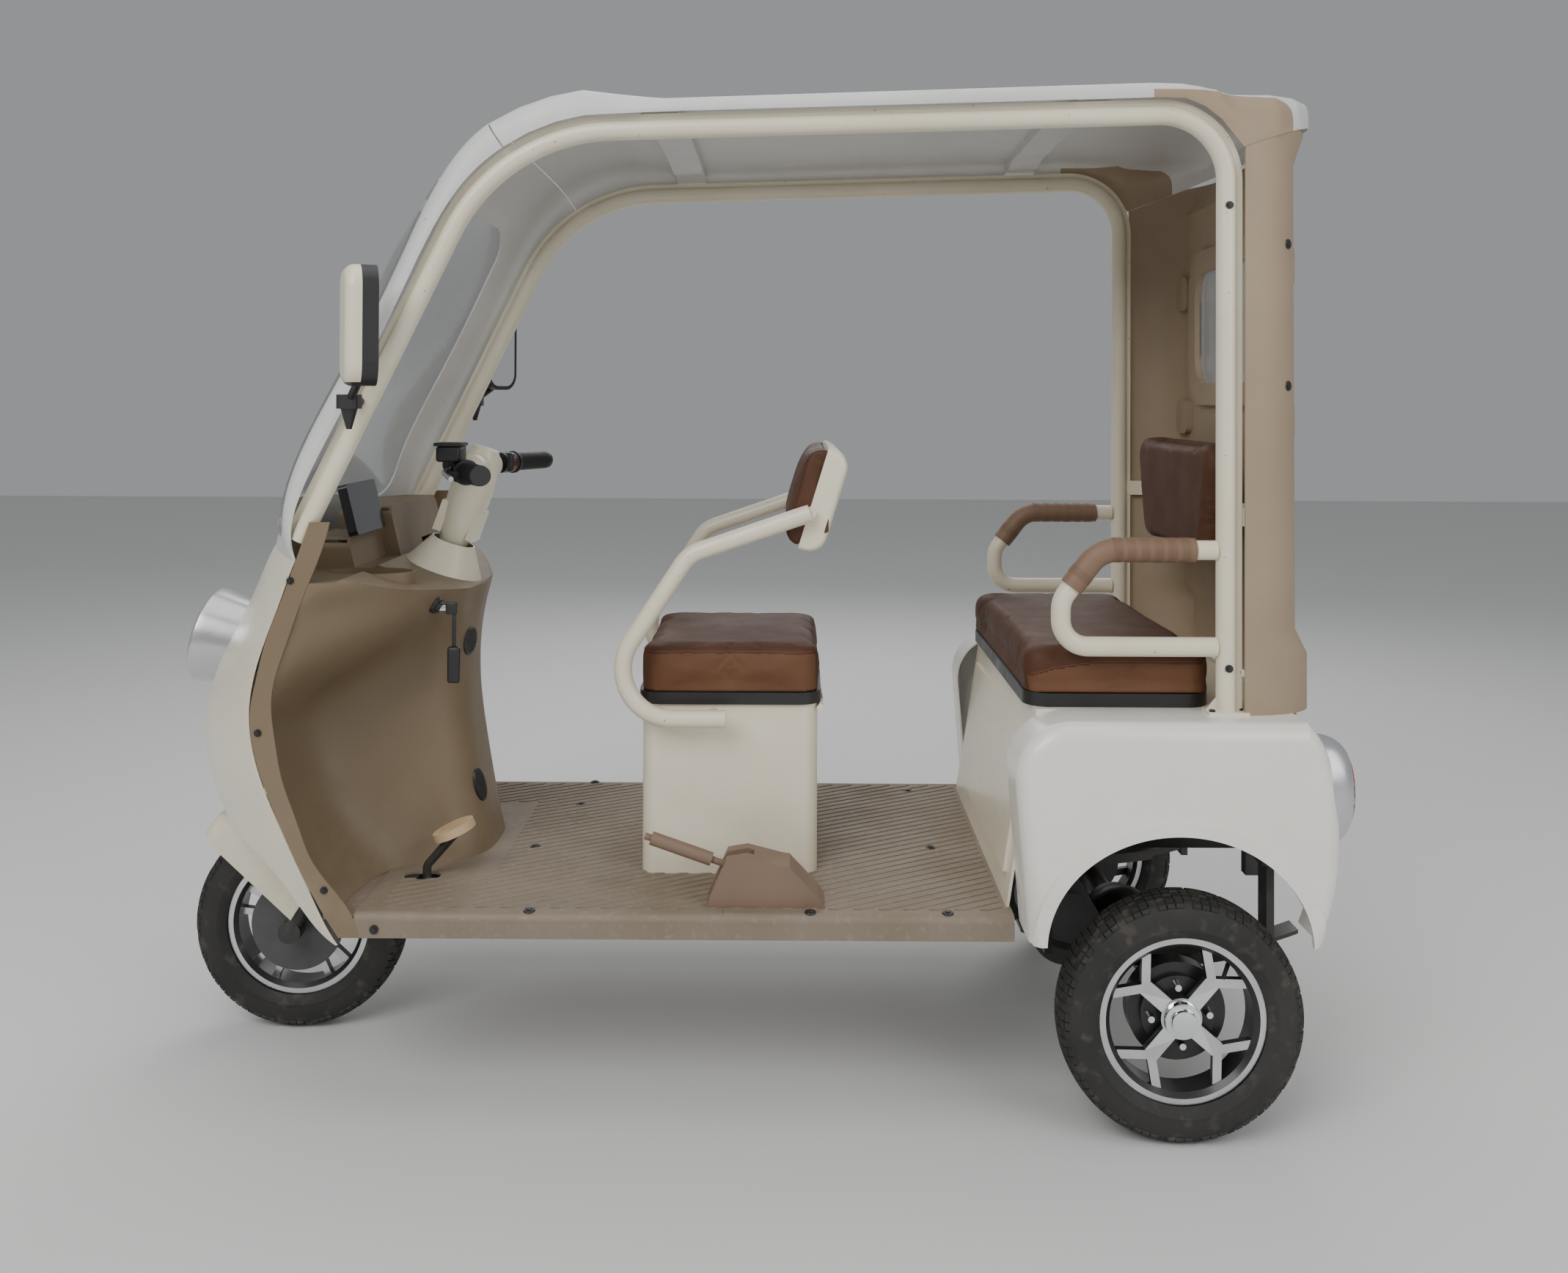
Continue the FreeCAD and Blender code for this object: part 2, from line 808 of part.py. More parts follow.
def front_mudguard():
    outer = guard_block(0)
    inner = guard_block(thin_skin)
    below = placed(inner, 0, 0, -overrun)
    shell = outer.cut(inner).cut(below)
    for side in (-fork_leg_spacing, fork_leg_spacing):
        start = fork_leg_point(tyre_radius, side)
        shell = shell.cut(rod(start, fork_leg_point(fork_crown_top, side), fork_leg_radius + fit_gap))
    return shell.cut(steer_rod(guard_nose_height, fork_crown_top, stem_radius + fit_gap))


def bar_points():
    middle = steer_point(bar_height).x
    half = [vector(middle - bar_sweep, bar_half_length, bar_height),
            vector(middle, bar_bend_outer, bar_height)]
    return half + [vector(point.x, -point.y, point.z) for point in half[::-1]]


def handlebar():
    points = bar_points()
    bar = tube(points, [bar_bend_radius, bar_bend_radius], bar_radius)
    middle = steer_point(bar_height)
    clamp = rod(steer_point(stem_top), middle + steer_line * bar_radius, stem_radius)
    parts = [bar, clamp]
    for first, last in ((points[0], points[1]), (points[3], points[2])):
        inward = (last - first).normalize()
        root = first + inward * (grip_length + grip_flange_thickness + fit_gap)
        parts.append(rod(root, root + inward * switch_length, switch_radius))
    near = points[1] + vector(0, fit_gap, 0)
    low = near + vector(0, -reservoir_length, bar_radius - flange_thickness)
    high = low + vector(reservoir_width, reservoir_length, reservoir_height)
    parts.append(box(low, high))
    reach = vector(lever_reach, 0, 0)
    for first, last in ((points[0], points[1]), (points[3], points[2])):
        inward = (last - first).normalize()
        tip = first + reach * lever_tip_share + inward * (grip_length / 2)
        root = first + inward * (grip_length + grip_flange_thickness + switch_length / 2)
        knuckle = root + reach * lever_knuckle_share
        parts.append(rod(root, knuckle, lever_thickness))
        parts.append(rod(knuckle, tip, lever_thickness / 2))
    return fused(parts)


def handlebar_grips():
    points = bar_points()
    grips = []
    for first, last in ((points[0], points[1]), (points[3], points[2])):
        inward = (last - first).normalize()
        end = first + inward * grip_length
        sleeve = rod(first, end, grip_radius).fuse(rod(end, end + inward * grip_flange_thickness,
                                                       grip_flange_radius))
        grips.append(sleeve.cut(rod(first - inward * overrun, end + inward * overrun, bar_radius)))
    return Part.makeCompound(grips)


def handlebar_cover():
    origin = steer_point(bulb_bottom)
    height = (steer_point(bulb_top) - origin).Length
    outline = [origin + steer_cross * (bulb_radius * out) + steer_line * (height * up)
               for out, up in zip(bulb_radius_shares, bulb_height_shares)]
    top = origin + steer_line * height
    edges = [Part.LineSegment(origin, outline[0]).toShape(), spline(outline),
             Part.LineSegment(outline[-1], top).toShape(), Part.LineSegment(top, origin).toShape()]
    bulb = Part.Face(Part.Wire(edges)).revolve(origin, steer_line, 360)
    middle = steer_point(bar_height)
    shoulders = cross_rod(middle, shoulder_radius, shoulder_half_length)
    ends = [edge for edge in shoulders.Edges if abs(abs(edge.CenterOfMass.y) - shoulder_half_length) < fit_gap]
    shoulders = shoulders.makeFillet(shoulder_radius / 2, ends)
    parts = [bulb, shoulders]
    ear_low = steer_point(ear_bottom)
    ear_end = ear_low + steer_line * ear_height
    for way in (-1, 1):
        out = steer_cross * (bulb_radius * way)
        side = vector(0, ear_width / 2, 0)
        corners = [ear_low + out - side, ear_low + out + side, ear_end + out + side, ear_end + out - side]
        ear = Part.Face(polygon(corners)).extrude(steer_cross * (-ear_depth * way))
        parts.append(ear)
    cover = fused(parts)
    cover = cover.cut(tube(bar_points(), [bar_bend_radius, bar_bend_radius], bar_radius))
    return cover.cut(steer_rod(guard_crown_height, bar_height, stem_radius))


def steering_cowl():
    base = steer_point(cone_height_on_axis)
    outer = Part.makeCone(cone_base_radius, cone_top_radius, cone_height, base, steer_line)
    inner = Part.makeCone(cone_base_radius - cone_wall, cone_top_radius - cone_wall,
                          cone_height, base, steer_line)
    return outer.cut(inner)


def frame_rail():
    top = floor_top - skin
    low = top - rail_height
    front = front_axle_x - rail_front_behind_axle
    rear = ahead(-rail_rear_behind_axle)
    rise_start = ahead(kick_start)
    rise_end = ahead(kick_end)
    outline = [(front, low), (rise_start, low), (rise_end, low + kick_up), (rear, low + kick_up),
               (rear, top + kick_up), (rise_end, top + kick_up), (rise_start, top), (front, top)]
    return side_plate(outline, rail_half_spacing - rail_width / 2, rail_half_spacing + rail_width / 2)


def cross_member(x, top, half_length):
    low = vector(x - rail_width / 2, -half_length, top - rail_height + fit_gap)
    return box(low, vector(x + rail_width / 2, half_length, top - fit_gap))


def head_tube():
    outer = steer_rod(head_tube_bottom, head_tube_top, head_tube_radius)
    return outer.cut(steer_rod(guard_crown_height, stem_top, stem_radius + fit_gap))


def chassis_frame():
    top = floor_top - skin
    rail = frame_rail()
    front = front_axle_x - rail_front_behind_axle - rail_width / 2
    parts = [rail, mirrored(rail)]
    span = front - ahead(floor_rear_end + rail_width)
    for index in range(cross_member_stations):
        x = front - index * span / (cross_member_stations - 1)
        parts.append(cross_member(x, top, cab_half_width - rail_height))
    for way in (-1, 1):
        seat = ahead(way * spring_half_length * spring_seat_share)
        parts.append(cross_member(seat, top + kick_up, spring_side + spring_width / 2))
    neck = steer_point(head_tube_bottom + head_tube_radius * 2)
    foot = vector(front, 0, top - rail_height / 2)
    parts.append(rod(foot, neck, down_tube_radius))
    rows = [ahead(bench_front_top - deck_post_size * 2), ahead(-rail_rear_behind_axle + deck_post_size / 2)]
    for x in rows:
        for way in (-1, 1):
            side = way * rail_half_spacing
            low = vector(x - deck_post_size / 2, side - deck_post_size / 2, top)
            high = vector(x + deck_post_size / 2, side + deck_post_size / 2, deck_top - bench_skin)
            parts.append(box(low, high))
    frame = fused(parts)
    bore = steer_rod(guard_crown_height, stem_top, stem_radius + fit_gap)
    return frame.fuse(head_tube()).cut(bore)


def floor_tray(rear, front):
    low = vector(rear, -cab_half_width, sill_bottom)
    high = vector(front, cab_half_width, floor_top)
    outer = rounded(box(low, high), floor_edge_round, lambda edge: runs_along(edge, vector(1, 0, 0))
                    and edge.CenterOfMass.z > floor_top - fit_gap)
    inset = vector(0, skin, 0)
    inner = box(low + inset - vector(overrun, 0, overrun), high - inset + vector(overrun, 0, -skin))
    inner = rounded(inner, floor_edge_round - skin, lambda edge: runs_along(edge, vector(1, 0, 0))
                    and edge.CenterOfMass.z > floor_top - skin - fit_gap)
    return outer.cut(inner)


def well_levels():
    """Shares of the wall's height at which it is drawn, with the heights themselves."""
    bottom = floor_top - skin
    shares = [step / well_steps for step in range(well_steps + 1)]
    return [(share, bottom + share * (well_top - bottom)) for share in shares]


def well_row(share):
    """Reach of the edge, reach of the column and swell of the pockets, eased between the table's levels."""
    rows = zip(well_edge_shares, well_column_shares, well_swell_shares)
    curve = Part.BSplineCurve()
    curve.interpolate(Points=[vector(*row) for row in rows], Parameters=list(well_level_shares))
    return curve.value(share)


def well_half_points(share, height):
    """Leg shield wall in plan at one level: from the left edge round to the middle of the column."""
    row = well_row(share)
    edge = ahead(apron_edge_reach * row.x)
    column = ahead(apron_edge_reach * row.y)
    depths = [between(hollow, pocket, row.z) for hollow, pocket in zip(well_depth_shares, well_pocket_shares)]
    inset = strip_thickness - strip_lap
    half = [vector(column + depth * (edge - column), width * (cab_half_width - inset), height)
            for depth, width in zip(depths, well_width_shares)]
    return half[::-1]


def closed_round(points, far):
    """Curve through the points, closed by straight lines round a far side."""
    corners = [points[-1], vector(far, points[-1].y, points[-1].z),
               vector(far, points[0].y, points[0].z), points[0]]
    lines = [Part.LineSegment(first, last).toShape() for first, last in zip(corners, corners[1:])]
    return Part.Wire([spline(points)] + lines)


def well_footprint():
    """The ground that the leg shield takes out of the floor pan."""
    points = symmetric(well_half_points(0, sill_bottom - overrun))
    outline = closed_round(points, ahead(floor_front_end + overrun * 2))
    footprint = Part.Face(outline).extrude(vector(0, 0, floor_top - sill_bottom + overrun * 2))
    return placed(footprint, -fit_gap, 0, 0)


def floor_front():
    pan = floor_tray(ahead(floor_split) + fit_gap / 2, ahead(floor_front_end))
    slot_low = vector(ahead(pedal_slot_rear), pedal_side - pedal_slot_width / 2, sill_bottom)
    slot_high = vector(ahead(pedal_slot_front), pedal_side + pedal_slot_width / 2, floor_top + overrun)
    slot = rounded_block(slot_low, slot_high, pedal_slot_width / 2 - fit_gap, vector(0, 0, 1))
    return pan.cut(slot).cut(well_footprint())


def floor_rear():
    return floor_tray(ahead(floor_rear_end), ahead(floor_split) - fit_gap / 2)


def leg_shield():
    bands = [band(symmetric(well_half_points(*level)), vector(0, 0, 1), skin) for level in well_levels()]
    wall = Part.makeLoft(bands, True, False)
    levels = [strip_bottom + share * (strip_top - strip_bottom) for share in strip_level_shares]
    inner = [vector(ahead(share * apron_edge_reach), cab_half_width - strip_thickness, height)
             for share, height in zip(strip_inner_shares, levels)]
    outer = [vector(ahead(share * apron_edge_reach) - strip_setback, cab_half_width - strip_thickness, height)
             for share, height in zip(strip_outer_shares, levels)]
    edges = [spline(inner), Part.LineSegment(inner[-1], outer[-1]).toShape(), spline(outer[::-1]),
             Part.LineSegment(outer[0], inner[0]).toShape()]
    strip = Part.Face(Part.Wire(edges)).extrude(vector(0, strip_thickness, 0))
    shelf = shelf_profile()
    under = [(shelf[0][0] - overrun * 4, sill_bottom)] + [(shelf[0][0] - overrun * 4, shelf[0][1])] + shelf
    under = under + [(shelf[-1][0] + overrun, shelf[-1][1]), (shelf[-1][0] + overrun, sill_bottom)]
    reach = cab_half_width - strip_lap
    wall = wall.common(side_plate(under, -reach, reach))
    return fused([wall, strip, mirrored(strip)])


def shelf_profile():
    """The dash shelf from the column's rear edge, under the steering cone, to the windscreen."""
    cone = steer_point(cone_height_on_axis)
    rear = cone - steer_cross * (cone_base_radius + skin)
    front = cone + steer_cross * (cone_base_radius + skin)
    return [(rear.x - overrun, rear.z), (rear.x, rear.z), (front.x, front.z),
            (ahead(dash_rear_face), dash_shelf),
            (ahead(apron_edge_reach), dash_shelf)]


def apron_rows():
    span = apron_top - apron_bottom
    for level, nose, edge in zip(apron_level_shares, apron_nose_shares, apron_edge_shares):
        yield apron_bottom + level * span, ahead(nose * apron_nose_reach), ahead(edge * apron_edge_reach)


def apron_half_points(height, nose, edge, inset=0):
    half = []
    for share in apron_plan_shares:
        out = 1 - share ** apron_plan_power
        half.append(vector(edge + out * (nose - inset - edge), share * (cab_half_width - inset), height))
    return half


def front_apron():
    bands = [band(symmetric(apron_half_points(*row)), vector(0, 0, 1), skin) for row in apron_rows()]
    shell = Part.makeLoft(bands, True, False)
    span = apron_top - apron_bottom
    hem = [(ahead(reach * apron_nose_reach), apron_bottom + rise * span)
           for reach, rise in zip(apron_hem_reach_shares, apron_hem_rise_shares)]
    points = [vector(x, -cab_half_width - overrun, z) for x, z in hem]
    low = apron_bottom - overrun * 2
    corners = [points[-1], vector(points[-1].x, points[-1].y, low),
               vector(points[0].x, points[0].y, low), points[0]]
    lines = [Part.LineSegment(first, last).toShape() for first, last in zip(corners, corners[1:])]
    cutter = Part.Face(Part.Wire([spline(points)] + lines))
    return shell.cut(cutter.extrude(vector(0, (cab_half_width + overrun) * 2, 0)))


def hoop_points(side=hoop_half_spacing):
    rear = ahead(-hoop_setback)
    return [vector(rear, side, deck_top + base_plate_thickness),
            vector(rear, side, hoop_rear_height),
            vector(ahead(hoop_front_top_ahead), side, hoop_front_top_height),
            vector(ahead(hoop_foot_ahead), side, hoop_foot_height)]


def hoop_arc_centre():
    """Centre of the hoop's large front bend, in the middle plane."""
    before, corner, after = hoop_points(0)[1:4]
    first = (corner - before).normalize()
    second = (after - corner).normalize()
    turn = first.getAngle(second)
    inward = (second - first).normalize()
    return corner + inward * (hoop_front_bend / math.cos(turn / 2))


def hoop_direction(angle):
    return vector(math.cos(math.radians(angle)), 0, math.sin(math.radians(angle)))


def cabin_hoop():
    points = hoop_points()
    bends = [hoop_rear_bend, hoop_front_bend]
    ring = tube(points, bends, hoop_radius)
    foot = points[0]
    depth = vector(-hoop_radius - gutter_depth, 0, 0)
    lip = vector(0, gutter_thickness, 0)
    corners = [foot, foot + depth, foot + depth + lip, foot + lip]
    gutter = sweep(bent_path(points, bends), polygon(corners))
    return fused([ring, gutter])


def hoop_foot():
    """Base plate under the hoop's rear end, with a gusset up to the tube."""
    foot = hoop_points()[0]
    half = vector(base_plate_length / 2, base_plate_width / 2, 0)
    plate_low = foot - half - vector(0, 0, base_plate_thickness)
    plate = box(plate_low, foot + half)
    web = [(foot.x, foot.z), (foot.x + base_plate_length / 2, foot.z), (foot.x, foot.z + gusset_height)]
    gusset = side_plate(web, hoop_half_spacing - gutter_thickness / 2,
                        hoop_half_spacing + gutter_thickness / 2)
    return fused([plate, gusset])


def rise_section(base, direction, rise, side_shares, rise_shares, half_width, grow):
    """Half of a bowed section: from the left foot up the side to the middle."""
    width = half_width + grow
    return [base + vector(0, side * width, 0) + direction * (up * (rise + grow))
            for side, up in zip(side_shares, rise_shares)]


def surround_sections():
    centre = hoop_arc_centre()
    pillar_angle = pillar_normal_angle()
    radius = hoop_front_bend + surround_setoff
    height, nose, edge = list(apron_rows())[-1]
    sections = []
    foot = [vector(edge + (1 - share ** apron_plan_power) * (nose - edge),
                   share * cab_half_width, height + fit_gap)
            for share in surround_foot_shares]
    sections.append((foot, vector(0, 0, 1)))
    low = vector(ahead(surround_low_ahead), 0, surround_low_height)
    top = centre + hoop_direction(pillar_angle) * radius
    stops = [(low, pillar_angle, surround_rise_bottom, 0),
             ((low + top) / 2, pillar_angle, surround_rise_middle, 0),
             (top, pillar_angle, surround_rise_middle, 0),
             (centre + hoop_direction(corner_angle) * radius, corner_angle, surround_rise_corner,
              surround_corner_blend),
             (centre + hoop_direction(seam_angle) * radius, seam_angle, roof_seam_rise, 1)]
    for base, angle, rise, blend in stops:
        direction = hoop_direction(angle)
        rises = [between(own, roofs, blend) for own, roofs in zip(surround_rise_shares, roof_rise_shares)]
        half = rise_section(base, direction, rise, surround_side_shares, rises, surround_half_width, 0)
        sections.append((half, direction.cross(vector(0, 1, 0))))
    return sections


def pillar_normal_angle():
    points = hoop_points(0)
    down = points[3] - points[2]
    return math.degrees(math.atan2(down.x, -down.z))


def surround_shell(distance, thickness):
    """Thin shell that lies a distance in front of the surround's outer face."""
    bands = []
    for half, plane in surround_sections():
        line = offset_points(symmetric(half), plane, -distance)
        bands.append(band(line, plane, thickness))
    return Part.makeLoft(bands, True, False)


def screen_prism(margin):
    """Rounded block through the screen, square to the pillar line."""
    angle = pillar_normal_angle()
    out = hoop_direction(angle)
    along = hoop_direction(angle + 90)
    base = vector(ahead(surround_low_ahead), 0, surround_low_height)
    half = screen_half_width + margin
    depth = surround_rise_middle + overrun * 2
    low = vector(0, -half, -screen_low - margin)
    high = vector(depth, half, screen_high + margin)
    block = rounded_block(low, high, screen_corner, vector(1, 0, 0))
    turned = FreeCAD.Placement(base, FreeCAD.Rotation(out, vector(0, 1, 0), along, "XYZ"))
    block.Placement = turned
    return block


def windscreen_surround():
    shell = surround_shell(0, skin)
    return shell.cut(screen_prism(-screen_border))


def windscreen():
    glass = surround_shell(fit_gap + screen_thickness, screen_thickness)
    return glass.common(screen_prism(0))


def between(first, last, share):
    return first + (last - first) * share


def roof_stations():
    """Foot point, outward direction, rise and width share of each roof section, from the seam to the tail."""
    centre = hoop_arc_centre()
    radius = hoop_front_bend + surround_setoff
    rear_radius = hoop_rear_bend + surround_setoff
    rear_centre = vector(ahead(-hoop_setback) + hoop_rear_bend, 0, hoop_rear_height - hoop_rear_bend)
    up = vector(0, 0, 1)
    start = seam_angle + roof_seam_gap_angle
    for step in range(roof_front_steps + 1):
        share = step / roof_front_steps
        direction = hoop_direction(between(start, roof_front_angle, share))
        yield centre + direction * radius, direction, between(roof_seam_rise, roof_front_rise, share), 1
    for step in range(roof_straight_steps + 1):
        share = step / roof_straight_steps
        foot = roof_foot(between(roof_dip_ahead, roof_rear_ahead, share))
        yield foot, up, between(roof_dip_rise, roof_rear_rise, share), 1
    for step in range(1, roof_rear_steps + 1):
        angle = between(90, roof_turn_angle, step / roof_rear_steps)
        foot = rear_centre + hoop_direction(angle) * rear_radius
        yield foot, up, roof_crown(foot.x) - foot.z, 1
    drop = vector(ahead(-roof_drop_behind), 0, roof_drop_height)
    tip = vector(ahead(-rear_overhang), 0, roof_tip_height)
    for share, width in zip(roof_tail_shares, roof_tail_width_shares):
        foot = between(drop, tip, share)
        yield foot, up, roof_crown(foot.x) - foot.z, width


def roof_crown(x):
    """Height of the roof's middle line behind its straight part."""
    start = roof_foot(roof_rear_ahead)
    share = (start.x - x) / (start.x - ahead(-rear_overhang))
    return between(start.z + roof_rear_rise, roof_tip_height + roof_tip_rise, share)


def roof_foot(distance):
    """Foot of the roof's side over the straight top of the hoop."""
    front, rear = hoop_points(0)[2], hoop_points(0)[1]
    share = (ahead(distance) - rear.x) / (front.x - rear.x)
    return vector(ahead(distance), 0, rear.z + share * (front.z - rear.z) + surround_setoff)


def roof_half(base, direction, rise, width=1, inset=0):
    return rise_section(base, direction, rise, roof_side_shares, roof_rise_shares, roof_half_width * width, -inset)


def roof_bow(distance):
    share = (distance - roof_rear_ahead) / (roof_dip_ahead - roof_rear_ahead)
    rise = roof_rear_rise + share * (roof_dip_rise - roof_rear_rise)
    foot = roof_foot(distance - bow_width / 2)
    half = roof_half(foot, vector(0, 0, 1), rise, inset=roof_thickness - fit_gap)
    profile = band(symmetric(half), vector(-1, 0, 0), bow_depth)
    slope = roof_foot(distance + bow_width / 2) - roof_foot(distance - bow_width / 2)
    return Part.Face(profile).extrude(slope)


def roof():
    bands = []
    for base, direction, rise, width in roof_stations():
        line = symmetric(roof_half(base, direction, rise, width))
        bands.append(band(line, direction.cross(vector(0, 1, 0)), roof_thickness))
    shell = Part.makeLoft(bands, True, True)
    end = offset_points(line, vector(-1, 0, 0), roof_thickness / 2)
    outline = Part.Wire([spline(end), Part.LineSegment(end[-1], end[0]).toShape()])
    cap = Part.Face(outline).extrude(vector(roof_thickness, 0, 0))
    return fused([shell, cap, roof_bow(bow_front_ahead), roof_bow(bow_rear_ahead)])


def wall_line(behind, height, corner, inset):
    """Plan line of the rear wall: a side that turns in an oval corner, the back and the same again."""
    front = ahead(-wall_front_behind)
    depth = behind - wall_front_behind - inset
    turn = []
    for step in range(wall_corner_steps + 1):
        angle = math.pi / 2 * step / wall_corner_steps
        side = cab_half_width - inset - (corner - inset) * (1 - math.cos(angle))
        turn.append(vector(front - depth * math.sin(angle), side, height))
    far = [mirrored_point(point) for point in turn]
    return [spline(turn), Part.LineSegment(turn[-1], far[-1]).toShape(), spline(far[::-1])], turn[0], far[0]


def wall_band(behind, height, corner):
    outer, outer_left, outer_right = wall_line(behind, height, corner, 0)
    inner, inner_left, inner_right = wall_line(behind, height, corner, wall_thickness)
    left = Part.LineSegment(outer_left, inner_left).toShape()
    right = Part.LineSegment(outer_right, inner_right).toShape()
    return Part.Wire(outer + [right] + inner[::-1] + [left])


def rear_wall():
    flare = wall_rear_behind + wall_flare
    levels = [(flare, deck_top, wall_round), (flare, wall_flare_top - wall_flare, wall_round),
              (wall_rear_behind, wall_flare_top + wall_flare, wall_round),
              (wall_rear_behind, roof_drop_height - wall_flare, wall_neck_round),
              (flare + wall_flare, wall_top, wall_top_round)]
    bands = [wall_band(*level) for level in levels]
    shell = Part.makeLoft(bands, True, True)
    slope = (roof_tip_height - roof_drop_height) / (rear_overhang - roof_drop_behind)
    slope_start = (ahead(-roof_drop_behind) + overrun, roof_drop_height - slope * overrun - fit_gap)
    slope_end = (ahead(-rear_overhang) - overrun, roof_tip_height + slope * overrun - fit_gap)
    above = [slope_start, slope_end, (slope_end[0], slope_end[1] + wall_flare_top),
             (slope_start[0], slope_end[1] + wall_flare_top)]
    shell = shell.cut(side_plate(above, -cab_half_width - overrun, cab_half_width + overrun))
    back = ahead(-wall_rear_behind) + wall_thickness
    frame = window_block(window_frame_width, back - fit_gap, back + window_frame_depth)
    parts = [shell, frame]
    for level in (wall_boss_low, wall_boss_high):
        for way in (-1, 1):
            centre = vector(back - fit_gap, way * wall_boss_side, level)
            half = vector(0, wall_boss_size / 2, wall_boss_size / 2)
            low = centre - half
            high = centre + half + vector(wall_boss_depth, 0, 0)
            parts.append(rounded_block(low, high, wall_boss_size * wall_boss_round_share, vector(1, 0, 0)))
    shell = fused(parts)
    return shell.cut(window_block(0, back - overrun, back + overrun))


def window_block(margin, rear, front):
    low = vector(rear, -window_half_width - margin, window_bottom - margin)
    high = vector(front, window_half_width + margin, window_top + margin)
    return rounded_block(low, high, window_corner + margin * window_frame_round_share, vector(1, 0, 0))


def rear_window():
    outer_face = ahead(-wall_rear_behind)
    gasket = window_block(window_gasket, outer_face - window_pane, outer_face)
    seat = window_block(0, outer_face - fit_gap, outer_face + wall_thickness)
    return fused([gasket, seat])


def bench_base():
    top = deck_top - bench_skin
    foot = ahead(bench_front_foot)
    head = ahead(bench_front_top)
    skin_step = vector(bench_skin, 0, 0).x
    outline = [(foot, floor_top), (head, top), (head - skin_step, top), (foot - skin_step, floor_top)]
    panel = side_plate(outline, -fender_inner_side, fender_inner_side)
    lean = (head - foot) / (top - floor_top)
    low_z = floor_top + bench_panel_inset
    high_z = top - bench_panel_inset
    low_x = foot + lean * (low_z - floor_top)
    high_x = foot + lean * (high_z - floor_top)
    raise_by = bench_panel_raise
    raised = [(low_x - skin_step, low_z), (low_x + raise_by, low_z), (high_x + raise_by, high_z),
              (high_x - skin_step, high_z)]
    inner_side = fender_inner_side - bench_panel_inset
    door = side_plate(raised, -inner_side, inner_side)
    deck = box(vector(ahead(-bench_rear_behind), -fender_inner_side, top),
               vector(head, fender_inner_side, deck_top))
    nose = rounded(box(vector(head - bench_round, -fender_inner_side, deck_top - bench_round),
                       vector(head, fender_inner_side, deck_top)), bench_round / 2,
                   lambda edge: runs_along(edge, vector(0, 1, 0)) and edge.CenterOfMass.z > deck_top - fit_gap
                   and edge.CenterOfMass.x > head - fit_gap)
    return fused([panel, door, deck, nose])


def cushion_block(low, high, corner, edge):
    return rounded_block(low, high, corner, vector(0, 0, 1), edge)


def bench_pan():
    inset = bench_pan_inset
    low = vector(ahead(-bench_cushion_rear_behind) + inset, -bench_cushion_half_width + inset, deck_top)
    high = vector(ahead(bench_cushion_front) - inset, bench_cushion_half_width - inset, bench_pan_top)
    return rounded_block(low, high, seat_corner, vector(0, 0, 1))


def bench_cushion():
    low = vector(ahead(-bench_cushion_rear_behind), -bench_cushion_half_width, bench_pan_top)
    high = vector(ahead(bench_cushion_front), bench_cushion_half_width, bench_cushion_top)
    return cushion_block(low, high, seat_corner, bench_cushion_round)


def bench_backrest():
    front = ahead(-backrest_front_behind)
    rear = front - backrest_depth
    narrow = backrest_low_half_width
    corners = [vector(rear, -backrest_half_width, backrest_top), vector(rear, backrest_half_width, backrest_top),
               vector(rear, narrow, backrest_bottom), vector(rear, -narrow, backrest_bottom)]
    block = Part.Face(polygon(corners)).extrude(vector(backrest_depth, 0, 0))
    block = rounded(block, backrest_round * 2, lambda edge: runs_along(edge, vector(1, 0, 0)))
    return rounded(block, backrest_round, lambda edge: edge.CenterOfMass.x > front - fit_gap)


def backrest_bar():
    behind = ahead(-backrest_front_behind) - backrest_depth
    half = backrest_bar_height / 2
    low = vector(behind - backrest_bar_thickness, -hoop_half_spacing, backrest_bar_level - half)
    high = vector(behind, hoop_half_spacing, backrest_bar_level + half)
    bar = box(low, high)
    tabs = []
    for way in (-1, 1):
        tab_low = vector(behind - backrest_bar_thickness, way * hoop_half_spacing - backrest_bar_thickness / 2,
                         backrest_bar_level - half)
        tab_high = vector(ahead(-hoop_setback) - hoop_radius, way * hoop_half_spacing + backrest_bar_thickness / 2,
                          backrest_bar_level + half)
        tabs.append(box(tab_low, tab_high))
    return fused([bar] + tabs)


def armrest_points():
    rear = ahead(-hoop_setback) + hoop_radius
    side = hoop_half_spacing
    return [vector(rear, side, arm_top), vector(ahead(arm_bend_ahead), side, arm_top),
            vector(ahead(arm_nose_ahead), side, arm_top - arm_nose_drop),
            vector(ahead(arm_nose_ahead), side, arm_low), vector(rear, side, arm_low)]


def armrests():
    points = armrest_points()
    bow = tube(points, [arm_bend, arm_nose_bend, arm_return_bend], arm_radius)
    hoop = rod(vector(ahead(-hoop_setback), hoop_half_spacing, deck_top),
               vector(ahead(-hoop_setback), hoop_half_spacing, hoop_rear_height), hoop_radius)
    return pair(bow.cut(hoop))


def armrest_grips():
    points = armrest_points()
    rear = vector(ahead(-arm_grip_rear_behind), hoop_half_spacing, arm_top)
    nose = points[2] + (points[1] - points[2]).normalize() * arm_nose_bend * arm_grip_end_share
    path = [rear, points[1], nose]
    outer = tube(path, [arm_bend], arm_grip_radius)
    inner = tube([points[0], points[1], points[2]], [arm_bend], arm_radius)
    return pair(outer.cut(inner))


